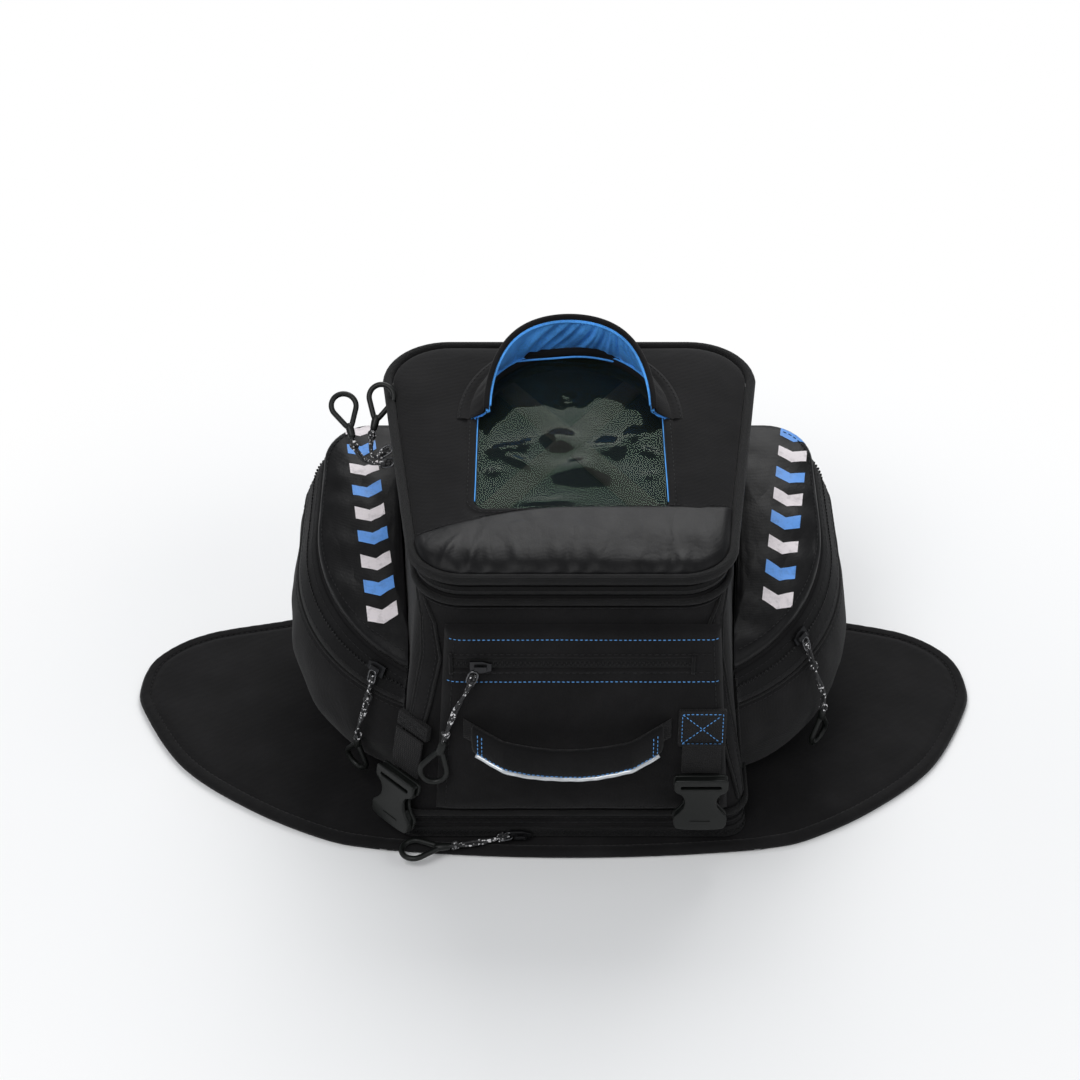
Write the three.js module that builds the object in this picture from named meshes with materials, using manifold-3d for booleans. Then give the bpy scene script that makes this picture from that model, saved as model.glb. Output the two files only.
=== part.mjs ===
// A motorcycle tank bag: a tapered main bag with a zipped, padded lid, a map window and a folding sun hood,
// two side pockets, a front pocket with a grab handle and straps, and a base leaf with two magnetic wings.
// Millimetres, +Z up, +X to the rider's right, -Y towards the rider. The origin is on the tank surface
// under the middle of the bag.
import * as THREE from "three";
import { mergeVertices } from "three/addons/utils/BufferGeometryUtils.js";
import Module from "manifold-3d";

const wasm = await Module();
wasm.setup();

// ---- Clearances and fabric thicknesses ----
const gap = 0.4; // between two pieces that touch
const foldGap = 0.7; // beside a flap that turns
const shellWall = 4; // padded wall of the main bag
const floorThickness = 3;
const pocketWall = 3;
const webbingThickness = 1.8;
const webbingWidth = 30;
const tapeThickness = 1.4; // woven zip tape
const baseTapeWidth = 8;
const baseTapeShare = 0.025; // of the height up to the rim

// ---- Base leaf and wings ----
const wingSpan = 676;
const leafNear = 158; // from the origin towards the rider
const leafFar = 165; // from the origin away from the rider
const wingRoot = 138; // hinge line of a wing, from the middle
const gripSheetThickness = 1.2;
const leafThickness = 5;
const magnetDiameter = 44;
const magnetThickness = 3;
const magnetOffsets = [50, 118]; // from the wing root, along X
const magnetPlaces = [-10, 22]; // along Y
const boardThickness = 2;

// ---- Main bag ----
const bagBottom = gripSheetThickness + gap + leafThickness + gap;
const nearBottom = { half: 130, y: -141, radius: 16 };
const nearTop = { half: 109, y: -113, radius: 34 };
const farBottom = { half: 134, y: 136, radius: 20 };
const farTop = { half: 136, y: 149, radius: 34 };
const rimNear = 211; // height of the rim at the rider's end
const rimFar = 229;
const seamPipingRadius = 2.2;
const basePipingShare = 0.115; // of the height up to the rim
const rimPipingShare = 0.985;

// ---- Lid ----
const gussetHeight = 12;
const gussetThickness = 3;
const lidTapeWidth = 7;
const lidTapeHeight = 6; // above the rim
const lidThickness = 10;
const lidCrown = 4;
const lidPipingRadius = 3.8;
const windowWidth = 140;
const windowNear = -49; // along the lid
const windowFar = 134;
const filmThickness = 0.8;
const filmDepth = 1.2; // how far the film lies under the lid's top
const sleeveThickness = 1.4;
const sleeveBorder = 6; // sewn border round the window
const sleeveSlot = 8; // the map goes in through this slot, from inside the bag
const elasticWidth = 20;
const elasticThickness = 1;
const padThickness = 2;
const padCrown = 6;
const padFar = -47; // the pad's arched edge at the middle of the lid
const padSide = -78; // and at its ends
const hoodHalfWidth = 74;
const hoodFeet = 50; // along the lid
const hoodBack = 141;
const hoodRimBack = 127;
const hoodRise = 40;
const hoodFootRise = 5;
const hoodWall = 2.4;
const hoodLining = 1;

// ---- Front pocket, handle and straps ----
const frontPocketDepth = 9;
const frontPocketWall = 2.2;
const frontPocketHigh = 183; // up the front from the bag's bottom
const frontPocketLeft = { low: 99, high: 87 }; // from the middle
const frontPocketRight = { low: 113, high: 99 };
const frontZipHeight = 156;
const frontZipHalf = 84;
const frontZipSlot = 5;
const zipTapeWidth = 16;
const handleHalf = 75;
const handleHeight = 101; // up the front, at its two ends
const handleSag = 26;
const handleReach = 11; // how far the middle of the handle stands out
const gripWidth = 26;
const gripThickness = 11;
const gripHalf = 68;
const reflectorRadius = 1.6;
const patchHeight = 30;
const rightStrapPlace = 95;
const strapTop = 118; // up the front, top of the sewn patch
const strapLength = 40;
const buckleLength = 45;
const buckleWidth = 41;
const buckleThickness = 9;

// ---- Side pockets ----
const pocketTop = { out: 193, y: 38, radius: 152, farY: 138 };
const pocketMid = { out: 244, y: 28, radius: 155, farY: 137 };
const pocketLow = { out: 190, y: 10, radius: 96, farY: 128 };
const pocketCorner = 24;
const pocketInside = 100; // the outline runs inside the bag's wall before it is cut back
const pocketLidNear = 136; // height of the flap's edge plane at y = pocketNearY
const pocketLidFar = 192;
const pocketNearY = -85;
const pocketFarY = 138;
const pocketTapeLow = 0.78; // share of the pocket wall's height
const pocketTapeOut = 0.3;
const pocketLidThickness = 7;
const pocketLidCrown = 8;

// ---- Zip sliders and pulls ----
const frontZipSliderPlace = 64; // left of the middle
const baseZipSliderPlace = 37;
const lidSliderPlace = 28; // away from the rider, along the lid's left side
const pocketSliderPlace = { left: 2, right: 4 }; // which point of the pocket's outline, from the rider's end
const sliderLength = 15;
const sliderWidth = 9;
const sliderHeight = 4.6;
const cordDiameter = 4.4; // two strands side by side
const loopLength = 32;
const loopWidth = 23;
const loopThickness = 5;
const loopStock = 4.2;

// ---- Colours ----
const colours = {
  fabric: { color: 0x161618, roughness: 0.9, metalness: 0 },
  satin: { color: 0x141417, roughness: 0.5, metalness: 0 },
  lining: { color: 0x2f7fd6, roughness: 0.75, metalness: 0 },
  grip: { color: 0x1c1c1c, roughness: 0.95, metalness: 0 },
  film: { color: 0x39424a, roughness: 0.12, metalness: 0 },
  plastic: { color: 0x17181a, roughness: 0.42, metalness: 0 },
  metal: { color: 0x2a2a2c, roughness: 0.3, metalness: 0.8 },
  magnet: { color: 0x7a7c80, roughness: 0.4, metalness: 0.9 },
  reflective: { color: 0xbfc4c8, roughness: 0.3, metalness: 0.4 },
  board: { color: 0x202022, roughness: 0.6, metalness: 0 },
  cord: { color: 0x222224, roughness: 0.8, metalness: 0 },
};

const bag = new THREE.Group();
const mix = (a, b, t) => a + (b - a) * t;

// ================= Helpers =================

function addPart(name, geometry, look, parent = bag) {
  const mesh = new THREE.Mesh(geometry, new THREE.MeshStandardMaterial(colours[look]));
  mesh.name = name;
  parent.add(mesh);
  return mesh;
}

function signedVolume(points, faces) {
  let volume = 0;
  const cross = new THREE.Vector3();
  for (const [a, b, c] of faces) {
    volume += points[a].dot(cross.crossVectors(points[b], points[c]));
  }
  return volume / 6;
}

// Triangles of one flat end of a loft, seen along its own normal.
function capFaces(ring, first) {
  const normal = new THREE.Vector3();
  ring.forEach((p, i) => {
    const q = ring[(i + 1) % ring.length];
    normal.x += (p.y - q.y) * (p.z + q.z);
    normal.y += (p.z - q.z) * (p.x + q.x);
    normal.z += (p.x - q.x) * (p.y + q.y);
  });
  const turn = new THREE.Quaternion().setFromUnitVectors(normal.normalize(), new THREE.Vector3(0, 0, 1));
  const flat = ring.map((p) => {
    const q = p.clone().applyQuaternion(turn);
    return new THREE.Vector2(q.x, q.y);
  });
  return THREE.ShapeUtils.triangulateShape(flat, []).map((face) => face.map((i) => i + first));
}

// A closed solid through rings of equal count. With closed, the last ring joins the first, without ends.
function loft(rings, closed = false) {
  const count = rings[0].length;
  const points = rings.flat();
  const faces = [];
  const steps = closed ? rings.length : rings.length - 1;
  for (let k = 0; k < steps; k += 1) {
    const here = k * count;
    const next = ((k + 1) % rings.length) * count;
    for (let i = 0; i < count; i += 1) {
      const j = (i + 1) % count;
      faces.push([here + i, here + j, next + j], [here + i, next + j, next + i]);
    }
  }
  if (!closed) {
    faces.push(...capFaces(rings[0], 0).map(([a, b, c]) => [c, b, a]));
    faces.push(...capFaces(rings.at(-1), (rings.length - 1) * count));
  }
  const inverted = signedVolume(points, faces) < 0;
  const geometry = new THREE.BufferGeometry().setFromPoints(points);
  geometry.setIndex(faces.flatMap(([a, b, c]) => (inverted ? [c, b, a] : [a, b, c])));
  geometry.computeVertexNormals();
  return geometry;
}

function toSolid(geometry) {
  const bare = geometry.clone();
  bare.deleteAttribute("normal");
  if (bare.attributes.uv) bare.deleteAttribute("uv");
  const merged = mergeVertices(bare, 1e-4);
  const vertProperties = new Float32Array(merged.attributes.position.array);
  const triVerts = new Uint32Array(merged.index.array);
  return new wasm.Manifold(new wasm.Mesh({ numProp: 3, vertProperties, triVerts }));
}

function fromSolid(solid) {
  const made = solid.getMesh();
  const geometry = new THREE.BufferGeometry();
  geometry.setAttribute("position", new THREE.BufferAttribute(new Float32Array(made.vertProperties), 3));
  geometry.setIndex(Array.from(made.triVerts));
  geometry.computeVertexNormals();
  return geometry;
}

const cut = (geometry, ...tools) =>
  fromSolid(tools.reduce((solid, tool) => solid.subtract(toSolid(tool)), toSolid(geometry)));
const join = (...pieces) => fromSolid(pieces.map(toSolid).reduce((a, b) => a.add(b)));

function extrude(shape, depth, z = 0, curveSegments = 3) {
  const geometry = new THREE.ExtrudeGeometry(shape, { depth, bevelEnabled: false, curveSegments });
  return geometry.translate(0, 0, z);
}

function roundedShape(width, height, radius, x = 0, y = 0) {
  const shape = new THREE.Shape();
  const [left, right, low, high] = [x - width / 2, x + width / 2, y - height / 2, y + height / 2];
  shape.moveTo(left + radius, low);
  shape.lineTo(right - radius, low);
  shape.absarc(right - radius, low + radius, radius, -Math.PI / 2, 0);
  shape.lineTo(right, high - radius);
  shape.absarc(right - radius, high - radius, radius, 0, Math.PI / 2);
  shape.lineTo(left + radius, high);
  shape.absarc(left + radius, high - radius, radius, Math.PI / 2, Math.PI);
  shape.lineTo(left, low + radius);
  shape.absarc(left + radius, low + radius, radius, Math.PI, Math.PI * 1.5);
  return shape;
}

// A round tube along points.
function tube(points, radius, sides, steps) {
  const section = new THREE.Shape();
  for (let i = 0; i < sides; i += 1) {
    const angle = ((i + 0.5) / sides) * Math.PI * 2;
    const x = Math.cos(angle) * radius;
    const y = Math.sin(angle) * radius;
    if (i) section.lineTo(x, y);
    else section.moveTo(x, y);
  }
  const extrudePath = new THREE.CatmullRomCurve3(points, false, "catmullrom");
  return new THREE.ExtrudeGeometry(section, { steps, bevelEnabled: false, extrudePath });
}

// ================= Outline of the main bag =================

function arcPoints(x, y, radius, from, to, count) {
  return Array.from({ length: count + 1 }, (_, i) => {
    const angle = THREE.MathUtils.degToRad(mix(from, to, i / count));
    return new THREE.Vector2(x + radius * Math.cos(angle), y + radius * Math.sin(angle));
  });
}

function between(a, b, count) {
  return Array.from({ length: count }, (_, i) => a.clone().lerp(b, (i + 1) / (count + 1)));
}

// The bag's plan at a share of its height, a rounded trapezium, grown outwards by grow.
function bagPlan(share, grow = 0) {
  const near = {};
  const far = {};
  for (const key of ["half", "y", "radius"]) {
    near[key] = mix(nearBottom[key], nearTop[key], share);
    far[key] = mix(farBottom[key], farTop[key], share);
  }
  const nr = near.radius + grow;
  const fr = far.radius + grow;
  const nx = near.half - near.radius;
  const fx = far.half - far.radius;
  const ny = near.y + near.radius;
  const fy = far.y - far.radius;
  const corners = [
    arcPoints(-nx, ny, nr, 180, 270, 5),
    arcPoints(nx, ny, nr, 270, 360, 5),
    arcPoints(fx, fy, fr, 0, 90, 5),
    arcPoints(-fx, fy, fr, 90, 180, 5),
  ];
  return corners.flatMap((corner, i) => [
    ...corner,
    ...between(corner.at(-1), corners[(i + 1) % 4][0], 2),
  ]);
}

const rimSlope = (rimFar - rimNear) / (farTop.y - nearTop.y);
const lidTilt = Math.atan(rimSlope);
const rimHeight = (y) => rimNear + (y - nearTop.y) * rimSlope;
const bagHeight = (y, share) => mix(bagBottom, rimHeight(y), share);

function bagRing(share, grow = 0, lift = 0) {
  return bagPlan(share, grow).map((p) => new THREE.Vector3(p.x, p.y, bagHeight(p.y, share) + lift));
}

const wallShares = [0, basePipingShare, 0.35, 0.7, rimPipingShare, 1];

// The whole bag as one block, grown by grow, to cut what lies against its walls.
function bagBlock(grow) {
  const over = 60;
  return loft([
    bagRing(0, grow, -bagBottom - 1),
    ...wallShares.map((share) => bagRing(share, grow)),
    bagRing(1, grow, over),
  ]);
}

// ================= Base leaf and wings =================

const halfSpan = wingSpan / 2;
const rootNear = leafNear - 8; // the leaf's edges where a wing starts
const rootFar = leafFar - 10;

// The middle of the leaf, its two long edges slightly bowed.
function leafMiddle() {
  const shape = new THREE.Shape();
  shape.moveTo(-wingRoot, -rootNear);
  shape.quadraticCurveTo(0, -2 * leafNear + rootNear, wingRoot, -rootNear);
  shape.lineTo(wingRoot, rootFar);
  shape.quadraticCurveTo(0, 2 * leafFar - rootFar, -wingRoot, rootFar);
  return shape;
}

// One wing: it sweeps back along the rider's edge to a rounded tip and returns along the far edge.
function wingShape(side) {
  const reach = halfSpan - wingRoot;
  const outline = [
    [0, -rootNear],
    [0.2 * reach, -rootNear + 10],
    [0.49 * reach, -rootNear + 42],
    [0.77 * reach, -rootNear + 89],
    [0.96 * reach, -rootNear + 152],
    [reach, -rootNear + 185],
    [0.96 * reach, rootFar - 84],
    [0.79 * reach, rootFar - 54],
    [0.47 * reach, rootFar - 35],
    [0.2 * reach, rootFar - 17],
    [0, rootFar],
  ].map(([x, y]) => new THREE.Vector2(side * (wingRoot + gap + x), y));
  const shape = new THREE.Shape();
  shape.moveTo(outline[0].x, outline[0].y);
  shape.splineThru(outline.slice(1));
  return shape;
}

function buildBase() {
  const leafBottom = gripSheetThickness + gap;
  addPart("base_grip_sheet", extrude(leafMiddle(), gripSheetThickness, 0, 8), "grip");
  addPart("base_panel", extrude(leafMiddle(), leafThickness, leafBottom, 8), "fabric");
}

function buildWing(side, label) {
  const leafBottom = gripSheetThickness + gap;
  const pocketDepth = magnetThickness + gap;
  const places = magnetOffsets.map((offset, i) => [side * (wingRoot + offset), magnetPlaces[i]]);
  const recesses = places.map(([x, y]) =>
    new THREE.CylinderGeometry(magnetDiameter / 2 + gap, magnetDiameter / 2 + gap, pocketDepth, 24)
      .rotateX(Math.PI / 2)
      .translate(x, y, leafBottom + pocketDepth / 2 - 0.001),
  );
  const wing = cut(extrude(wingShape(side), leafThickness, leafBottom, 4), ...recesses);
  addPart(`${label}_wing`, wing, "fabric");
  addPart(`${label}_wing_grip_sheet`, extrude(wingShape(side), gripSheetThickness, 0, 4), "grip");
  places.forEach(([x, y], i) => {
    const disc = new THREE.CylinderGeometry(magnetDiameter / 2, magnetDiameter / 2, magnetThickness, 24);
    const magnet = addPart(`${label}_wing_magnet_${i + 1}`, disc, "magnet");
    magnet.rotation.x = Math.PI / 2;
    magnet.position.set(x, y, leafBottom + magnetThickness / 2);
  });
}

// ================= Main bag =================

// A closed band round the bag or its lid. The section is a list of [distance out, height] pairs, and
// place(out, height) gives the ring of points there.
const roundBag = (section, place) => loft(section.map(([grow, height]) => place(grow, height)), true);

const tapeSection = (width) => [
  [gap, -width / 2],
  [gap, width / 2],
  [gap + tapeThickness, width / 2],
  [gap + tapeThickness, -width / 2],
];

function pipingSection(radius, sides, grown = 0) {
  return Array.from({ length: sides }, (_, i) => {
    const angle = ((i + 0.5) / sides) * Math.PI * 2;
    const size = radius + grown;
    return [gap + radius + size * Math.cos(angle), size * Math.sin(angle)];
  });
}

const atShare = (share) => (grow, height) => bagRing(share + height / (rimNear - bagBottom), grow);

function buildMainBag() {
  const outer = wallShares.map((share) => bagRing(share));
  const inner = [1, 0.7, 0.35].map((share) => bagRing(share, -shellWall));
  const floor = bagRing(0, -shellWall, floorThickness);
  addPart("main_shell", loft([...outer, ...inner, floor]), "fabric");
  const board = bagRing(0, -shellWall - 3, floorThickness + gap);
  const boardTop = board.map((p) => p.clone().setZ(p.z + boardThickness));
  addPart("floor_board", loft([board, boardTop]), "board");
  addPart("base_zip_tape", roundBag(tapeSection(baseTapeWidth), atShare(baseTapeShare)), "fabric");
  const piping = pipingSection(seamPipingRadius, 6);
  addPart("base_piping", roundBag(piping, atShare(basePipingShare)), "satin");
  addPart("rim_piping", roundBag(piping, atShare(rimPipingShare)), "satin");
}

// ================= Lid =================

const lidFrame = new THREE.Group(); // its plane is the rim's, tilted up away from the rider
lidFrame.position.z = rimHeight(0);
lidFrame.rotation.x = lidTilt;
bag.add(lidFrame);

const lidBottom = gap + gussetHeight + gap;
const lidTop = lidBottom + lidThickness;
const lidNear = nearTop.y / Math.cos(lidTilt);
const lidFar = farTop.y / Math.cos(lidTilt);
const lidMiddle = (lidNear + lidFar) / 2;
const lidHalfLength = (lidFar - lidNear) / 2;

const lidPlan = (grow = 0) =>
  bagPlan(1, grow).map((p) => new THREE.Vector2(p.x, p.y / Math.cos(lidTilt)));

function lidRise(x, y) {
  const across = Math.min(1, Math.abs(x) / farTop.half);
  const along = Math.min(1, Math.abs(y - lidMiddle) / lidHalfLength);
  return lidCrown * (1 - across ** 2) * (1 - along ** 2);
}

const onLid = (x, y, lift = 0) => new THREE.Vector3(x, y, lidTop + lidRise(x, y) + lift);

function buildLidPanel() {
  const flatRing = (z) => lidPlan().map((p) => new THREE.Vector3(p.x, p.y, z));
  const shrunk = (scale) =>
    lidPlan().map((p) => onLid(p.x * scale, lidMiddle + (p.y - lidMiddle) * scale));
  const block = loft([flatRing(lidBottom), flatRing(lidTop), shrunk(0.75), shrunk(0.45), shrunk(0.15)]);
  const length = windowFar - windowNear;
  const middle = (windowFar + windowNear) / 2;
  const opening = extrude(roundedShape(windowWidth, length, 10, 0, middle), 60, 0);
  addPart("lid_panel", cut(block, opening), "fabric", lidFrame);

  const film = roundedShape(windowWidth - 2 * gap, length - 2 * gap, 10 - gap, 0, middle);
  addPart("window_film", extrude(film, filmThickness, lidTop - filmDepth - filmThickness), "film", lidFrame);
}

// The backing of the map sleeve hangs under the window, and crossed elastic straps lie on it.
function buildMapSleeve() {
  const length = windowFar - windowNear;
  const middle = (windowFar + windowNear) / 2;
  const sleeve = roundedShape(windowWidth + 2 * sleeveBorder, length + 2 * sleeveBorder, 12, 0, middle);
  sleeve.holes.push(roundedShape(windowWidth - 24, sleeveSlot, 1, 0, windowNear + sleeveSlot));
  const sleeveBottom = lidBottom - gap - sleeveThickness;
  addPart("map_sleeve", extrude(sleeve, sleeveThickness, sleeveBottom), "fabric", lidFrame);

  const strapLengthAcross = Math.hypot(windowWidth - 24, length - 24) - elasticWidth;
  const lean = Math.atan2(length - 24, windowWidth - 24);
  const band = (angle) =>
    new THREE.BoxGeometry(strapLengthAcross, elasticWidth, elasticThickness).rotateZ(angle);
  const cross = addPart("map_elastic_cross", join(band(lean), band(-lean)), "fabric", lidFrame);
  cross.position.set(0, middle, lidBottom + elasticThickness / 2);
}

function buildGusset() {
  const outline = new THREE.Shape(lidPlan());
  outline.holes.push(new THREE.Path(lidPlan(-gussetThickness).reverse()));
  addPart("lid_gusset", extrude(outline, gussetHeight, gap), "fabric", lidFrame);
  const onSide = (grow, z) => lidPlan(grow).map((p) => new THREE.Vector3(p.x, p.y, z));
  const tape = roundBag(tapeSection(lidTapeWidth), (grow, z) => onSide(grow, lidTapeHeight + z));
  addPart("lid_zip_tape", tape, "fabric", lidFrame);
  const middle = lidBottom + lidThickness / 2;
  const piping = roundBag(pipingSection(lidPipingRadius, 8), (grow, z) => onSide(grow, middle + z));
  addPart("lid_piping", piping, "satin", lidFrame);
}

// The puffed pad between the window and the rider's edge of the lid. Its far edge is an arch.
function buildFrontPad() {
  const inset = 5;
  const rows = 8;
  const columns = 14;
  const nearHalf = nearTop.half - inset;
  const rings = [];
  for (let i = 0; i <= columns; i += 1) {
    const u = mix(-1, 1, i / columns);
    const x = u * nearHalf * 0.985;
    const cornerStart = nearHalf - (nearTop.radius - inset);
    const past = Math.max(0, Math.abs(x) - cornerStart) / (nearTop.radius - inset);
    const near = lidNear + inset + (nearTop.radius - inset) * (1 - Math.sqrt(Math.max(0, 1 - past ** 2)));
    const far = mix(padFar, padSide, u ** 4) - 2;
    const top = [];
    const bottom = [];
    for (let k = 0; k <= rows; k += 1) {
      const v = k / rows;
      const y = mix(near, far, v);
      const puff = padCrown * (1 - u ** 6) * Math.sin(Math.PI * v) ** 0.6;
      top.push(onLid(x, y, foldGap + padThickness + puff));
      bottom.push(onLid(x, y, foldGap));
    }
    rings.push([...top, ...bottom.reverse()]);
  }
  addPart("lid_front_pad", loft(rings), "satin", lidFrame);
}

// The sun hood stands on a U-shaped seam round the far end of the window and opens towards the rider.
function hoodSection(angle, inner, outer) {
  const across = -Math.cos(angle);
  const along = Math.sin(angle);
  const seamX = across * (hoodHalfWidth + outer);
  const seamY = hoodFeet + along * (hoodBack - hoodFeet + outer);
  const rimX = across * (hoodHalfWidth - 3 + outer);
  const rimY = hoodFeet + along * (hoodRimBack - hoodFeet + outer);
  const rise = hoodFootRise + (hoodRise - hoodFootRise) * along ** 0.8;
  const shrink = (x, y, by) => [x - across * by, hoodFeet + (y - hoodFeet) - along * by];
  const [inSeamX, inSeamY] = shrink(seamX, seamY, outer - inner);
  const [inRimX, inRimY] = shrink(rimX, rimY, outer - inner);
  return [
    onLid(seamX, seamY, foldGap),
    onLid(mix(seamX, rimX, 0.4), mix(seamY, rimY, 0.4), foldGap + rise * 0.6),
    onLid(rimX, rimY, foldGap + rise),
    onLid(inRimX, inRimY, foldGap + rise),
    onLid(mix(inSeamX, inRimX, 0.4), mix(inSeamY, inRimY, 0.4), foldGap + rise * 0.6),
    onLid(inSeamX, inSeamY, foldGap),
  ];
}

function buildHood() {
  const steps = 18;
  const sections = (inner, outer) =>
    Array.from({ length: steps + 1 }, (_, i) => hoodSection((i / steps) * Math.PI, inner, outer));
  addPart("sun_hood", loft(sections(0, hoodWall)), "fabric", lidFrame);
  // the lining's sections run the other way round, so that its facets match the hood's
  const lining = sections(-gap - hoodLining, -gap).map((section) => section.reverse());
  addPart("sun_hood_lining", loft(lining), "lining", lidFrame);
}

// ================= Front pocket, handle and straps =================

const frontRun = nearTop.y - nearBottom.y;
const frontRiseHeight = bagHeight(nearTop.y, 1) - bagBottom;
const frontLean = Math.atan2(frontRun, frontRiseHeight);
const front = new THREE.Group(); // local X across, Y outwards from the front wall, Z up it
front.position.set(0, nearBottom.y, bagBottom);
front.rotation.set(-frontLean, 0, 0);
bag.add(front);
const out = (distance) => -distance; // distance in front of the wall

function slab(shape, near, far, curveSegments = 1) {
  // shape is drawn as seen from the rider, and stands between two distances from the front wall
  return extrude(shape, far - near, 0, curveSegments).rotateX(Math.PI / 2).translate(0, out(near), 0);
}

function frontPanel(low, high, inset) {
  const shape = new THREE.Shape();
  shape.moveTo(-frontPocketLeft.low + inset, low);
  shape.lineTo(frontPocketRight.low - inset, low);
  shape.lineTo(frontPocketRight.high - inset, high);
  shape.lineTo(-frontPocketLeft.high + inset, high);
  return shape;
}

const inBag = (geometry, frame) => {
  bag.updateMatrixWorld(true);
  return geometry.clone().applyMatrix4(frame.matrixWorld);
};

function buildFrontPocket() {
  const wall = frontPocketWall;
  const behind = -60;
  const low = (basePipingShare * frontRiseHeight + seamPipingRadius + 2 * gap) / Math.cos(frontLean);
  const outer = slab(frontPanel(low, frontPocketHigh, 0), behind, frontFace());
  const hollow = slab(frontPanel(low + wall, frontPocketHigh - wall, wall), 2 * behind, frontFace() - wall);
  const slotShape = roundedShape(2 * frontZipHalf, frontZipSlot, 1, 0, frontZipHeight);
  const slot = slab(slotShape, 0, 2 * frontPocketDepth);
  const pocket = cut(inBag(cut(outer, hollow, slot), front), bagBlock(gap));
  addPart("front_pocket", pocket, "fabric");
  const face = frontFace();
  const tape = roundedShape(2 * frontZipHalf + 8, zipTapeWidth, 1, 0, frontZipHeight);
  addPart("front_zip_tape", slab(tape, face + gap, face + gap + tapeThickness), "fabric", front);
}

// How far the front pocket's face stands in front of the wall.
const frontFace = () => gap + frontPocketDepth;

// Middle line of the handle: it sags and stands out in the middle. u runs from -1 to 1.
function handlePoint(u, half, extra = 0) {
  const bow = 1 - u ** 2;
  const reach = frontFace() + gap + extra + handleReach * Math.min(1, bow * 1.6) ** 1.5;
  return new THREE.Vector3(u * half, out(reach), handleHeight - handleSag * bow);
}

// A strip that follows the handle's line, between two distances behind its own face.
function handleStrip(halfSpanX, halfWidth, inner, outer, steps) {
  const rings = [];
  for (let i = 0; i <= steps; i += 1) {
    const u = mix(-halfSpanX, halfSpanX, i / steps) / handleHalf;
    const low = handlePoint(u, handleHalf, inner);
    const high = handlePoint(u, handleHalf, outer);
    rings.push([
      low.clone().setZ(low.z - halfWidth),
      low.clone().setZ(low.z + halfWidth),
      high.clone().setZ(high.z + halfWidth),
      high.clone().setZ(high.z - halfWidth),
    ]);
  }
  return loft(rings);
}

function gripSection(u, depth) {
  const swell = 1 - 0.25 * (Math.abs(u) * (handleHalf / gripHalf)) ** 4;
  const centre = handlePoint(u, handleHalf, depth + gripThickness / 2);
  return Array.from({ length: 10 }, (_, i) => {
    const angle = (i / 10) * Math.PI * 2;
    const z = (gripWidth / 2) * Math.sin(angle) * swell;
    const y = (gripThickness / 2) * Math.cos(angle) * swell;
    return centre.clone().add(new THREE.Vector3(0, y, z));
  });
}

function buildHandle() {
  const stripSteps = 14;
  const strip = handleStrip(handleHalf, gripWidth / 2 - 2, 0, webbingThickness, stripSteps);
  addPart("handle_webbing", strip, "fabric", front);
  const depth = webbingThickness + 2 * gap;
  const rings = Array.from({ length: 15 }, (_, i) => {
    const u = mix(-gripHalf, gripHalf, i / 14) / handleHalf;
    return gripSection(u, depth);
  });
  addPart("handle_grip", loft(rings), "satin", front);
  const lower = gripWidth / 2 + gap + reflectorRadius;
  const path = Array.from({ length: 13 }, (_, i) => {
    const u = mix(-gripHalf + 4, gripHalf - 4, i / 12) / handleHalf;
    const p = handlePoint(u, handleHalf, depth + gripThickness / 2);
    return p.setZ(p.z - lower);
  });
  addPart("handle_reflector", tube(path, reflectorRadius, 6, 16), "reflective", front);
}

// A strap with a sewn patch above and half of a side-release buckle below, in the frame of its own wall:
// x across, z up from the patch's foot, distance from the wall along -Y.
function buckleShape() {
  const shape = new THREE.Shape();
  const half = buckleWidth / 2;
  shape.moveTo(-half, 0);
  shape.lineTo(-half + 2, 0);
  shape.lineTo(half - 2, 0);
  shape.lineTo(half, -2);
  shape.lineTo(half, -9);
  shape.lineTo(half * 0.62, -14);
  shape.lineTo(half * 0.62, -25);
  shape.lineTo(half, -33);
  shape.lineTo(half * 0.94, -buckleLength);
  shape.lineTo(-half * 0.94, -buckleLength);
  shape.lineTo(-half, -33);
  shape.lineTo(-half * 0.62, -25);
  shape.lineTo(-half * 0.62, -14);
  shape.lineTo(-half, -9);
  return shape;
}

function buildStrap(label, frame, seat, buckleSeat) {
  const patch = roundedShape(webbingWidth + 1, patchHeight, 1, 0, patchHeight / 2);
  const patchFace = seat + gap + webbingThickness;
  if (seat > frontPocketDepth) {
    addPart(`${label}_strap_patch`, slab(patch, seat + gap, patchFace), "fabric", frame);
  } else {
    const thick = slab(patch, -webbingWidth / 2, patchFace); // its back is cut to the bag's corner
    addPart(`${label}_strap_patch`, cut(inBag(thick, frame), bagBlock(gap)), "fabric");
  }
  const overlap = 3;
  const band = roundedShape(webbingWidth, strapLength, 1, 0, -strapLength / 2 + overlap);
  const bandNear = patchFace + gap;
  addPart(`${label}_strap`, slab(band, bandNear, bandNear + webbingThickness), "fabric", frame);
  const mouth = new THREE.BoxGeometry(buckleWidth * 0.7, buckleThickness * 0.55, 22);
  mouth.translate(0, out(buckleThickness / 2), -buckleLength + 10);
  const bar = new THREE.BoxGeometry(webbingWidth + 1, 30, 3).translate(0, 0, -5.5);
  const buckle = cut(slab(buckleShape(), 0, buckleThickness), mouth, bar);
  const piece = addPart(`${label}_buckle`, buckle, "plastic", frame);
  piece.position.set(0, out(buckleSeat), overlap - strapLength - gap);
}

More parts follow.
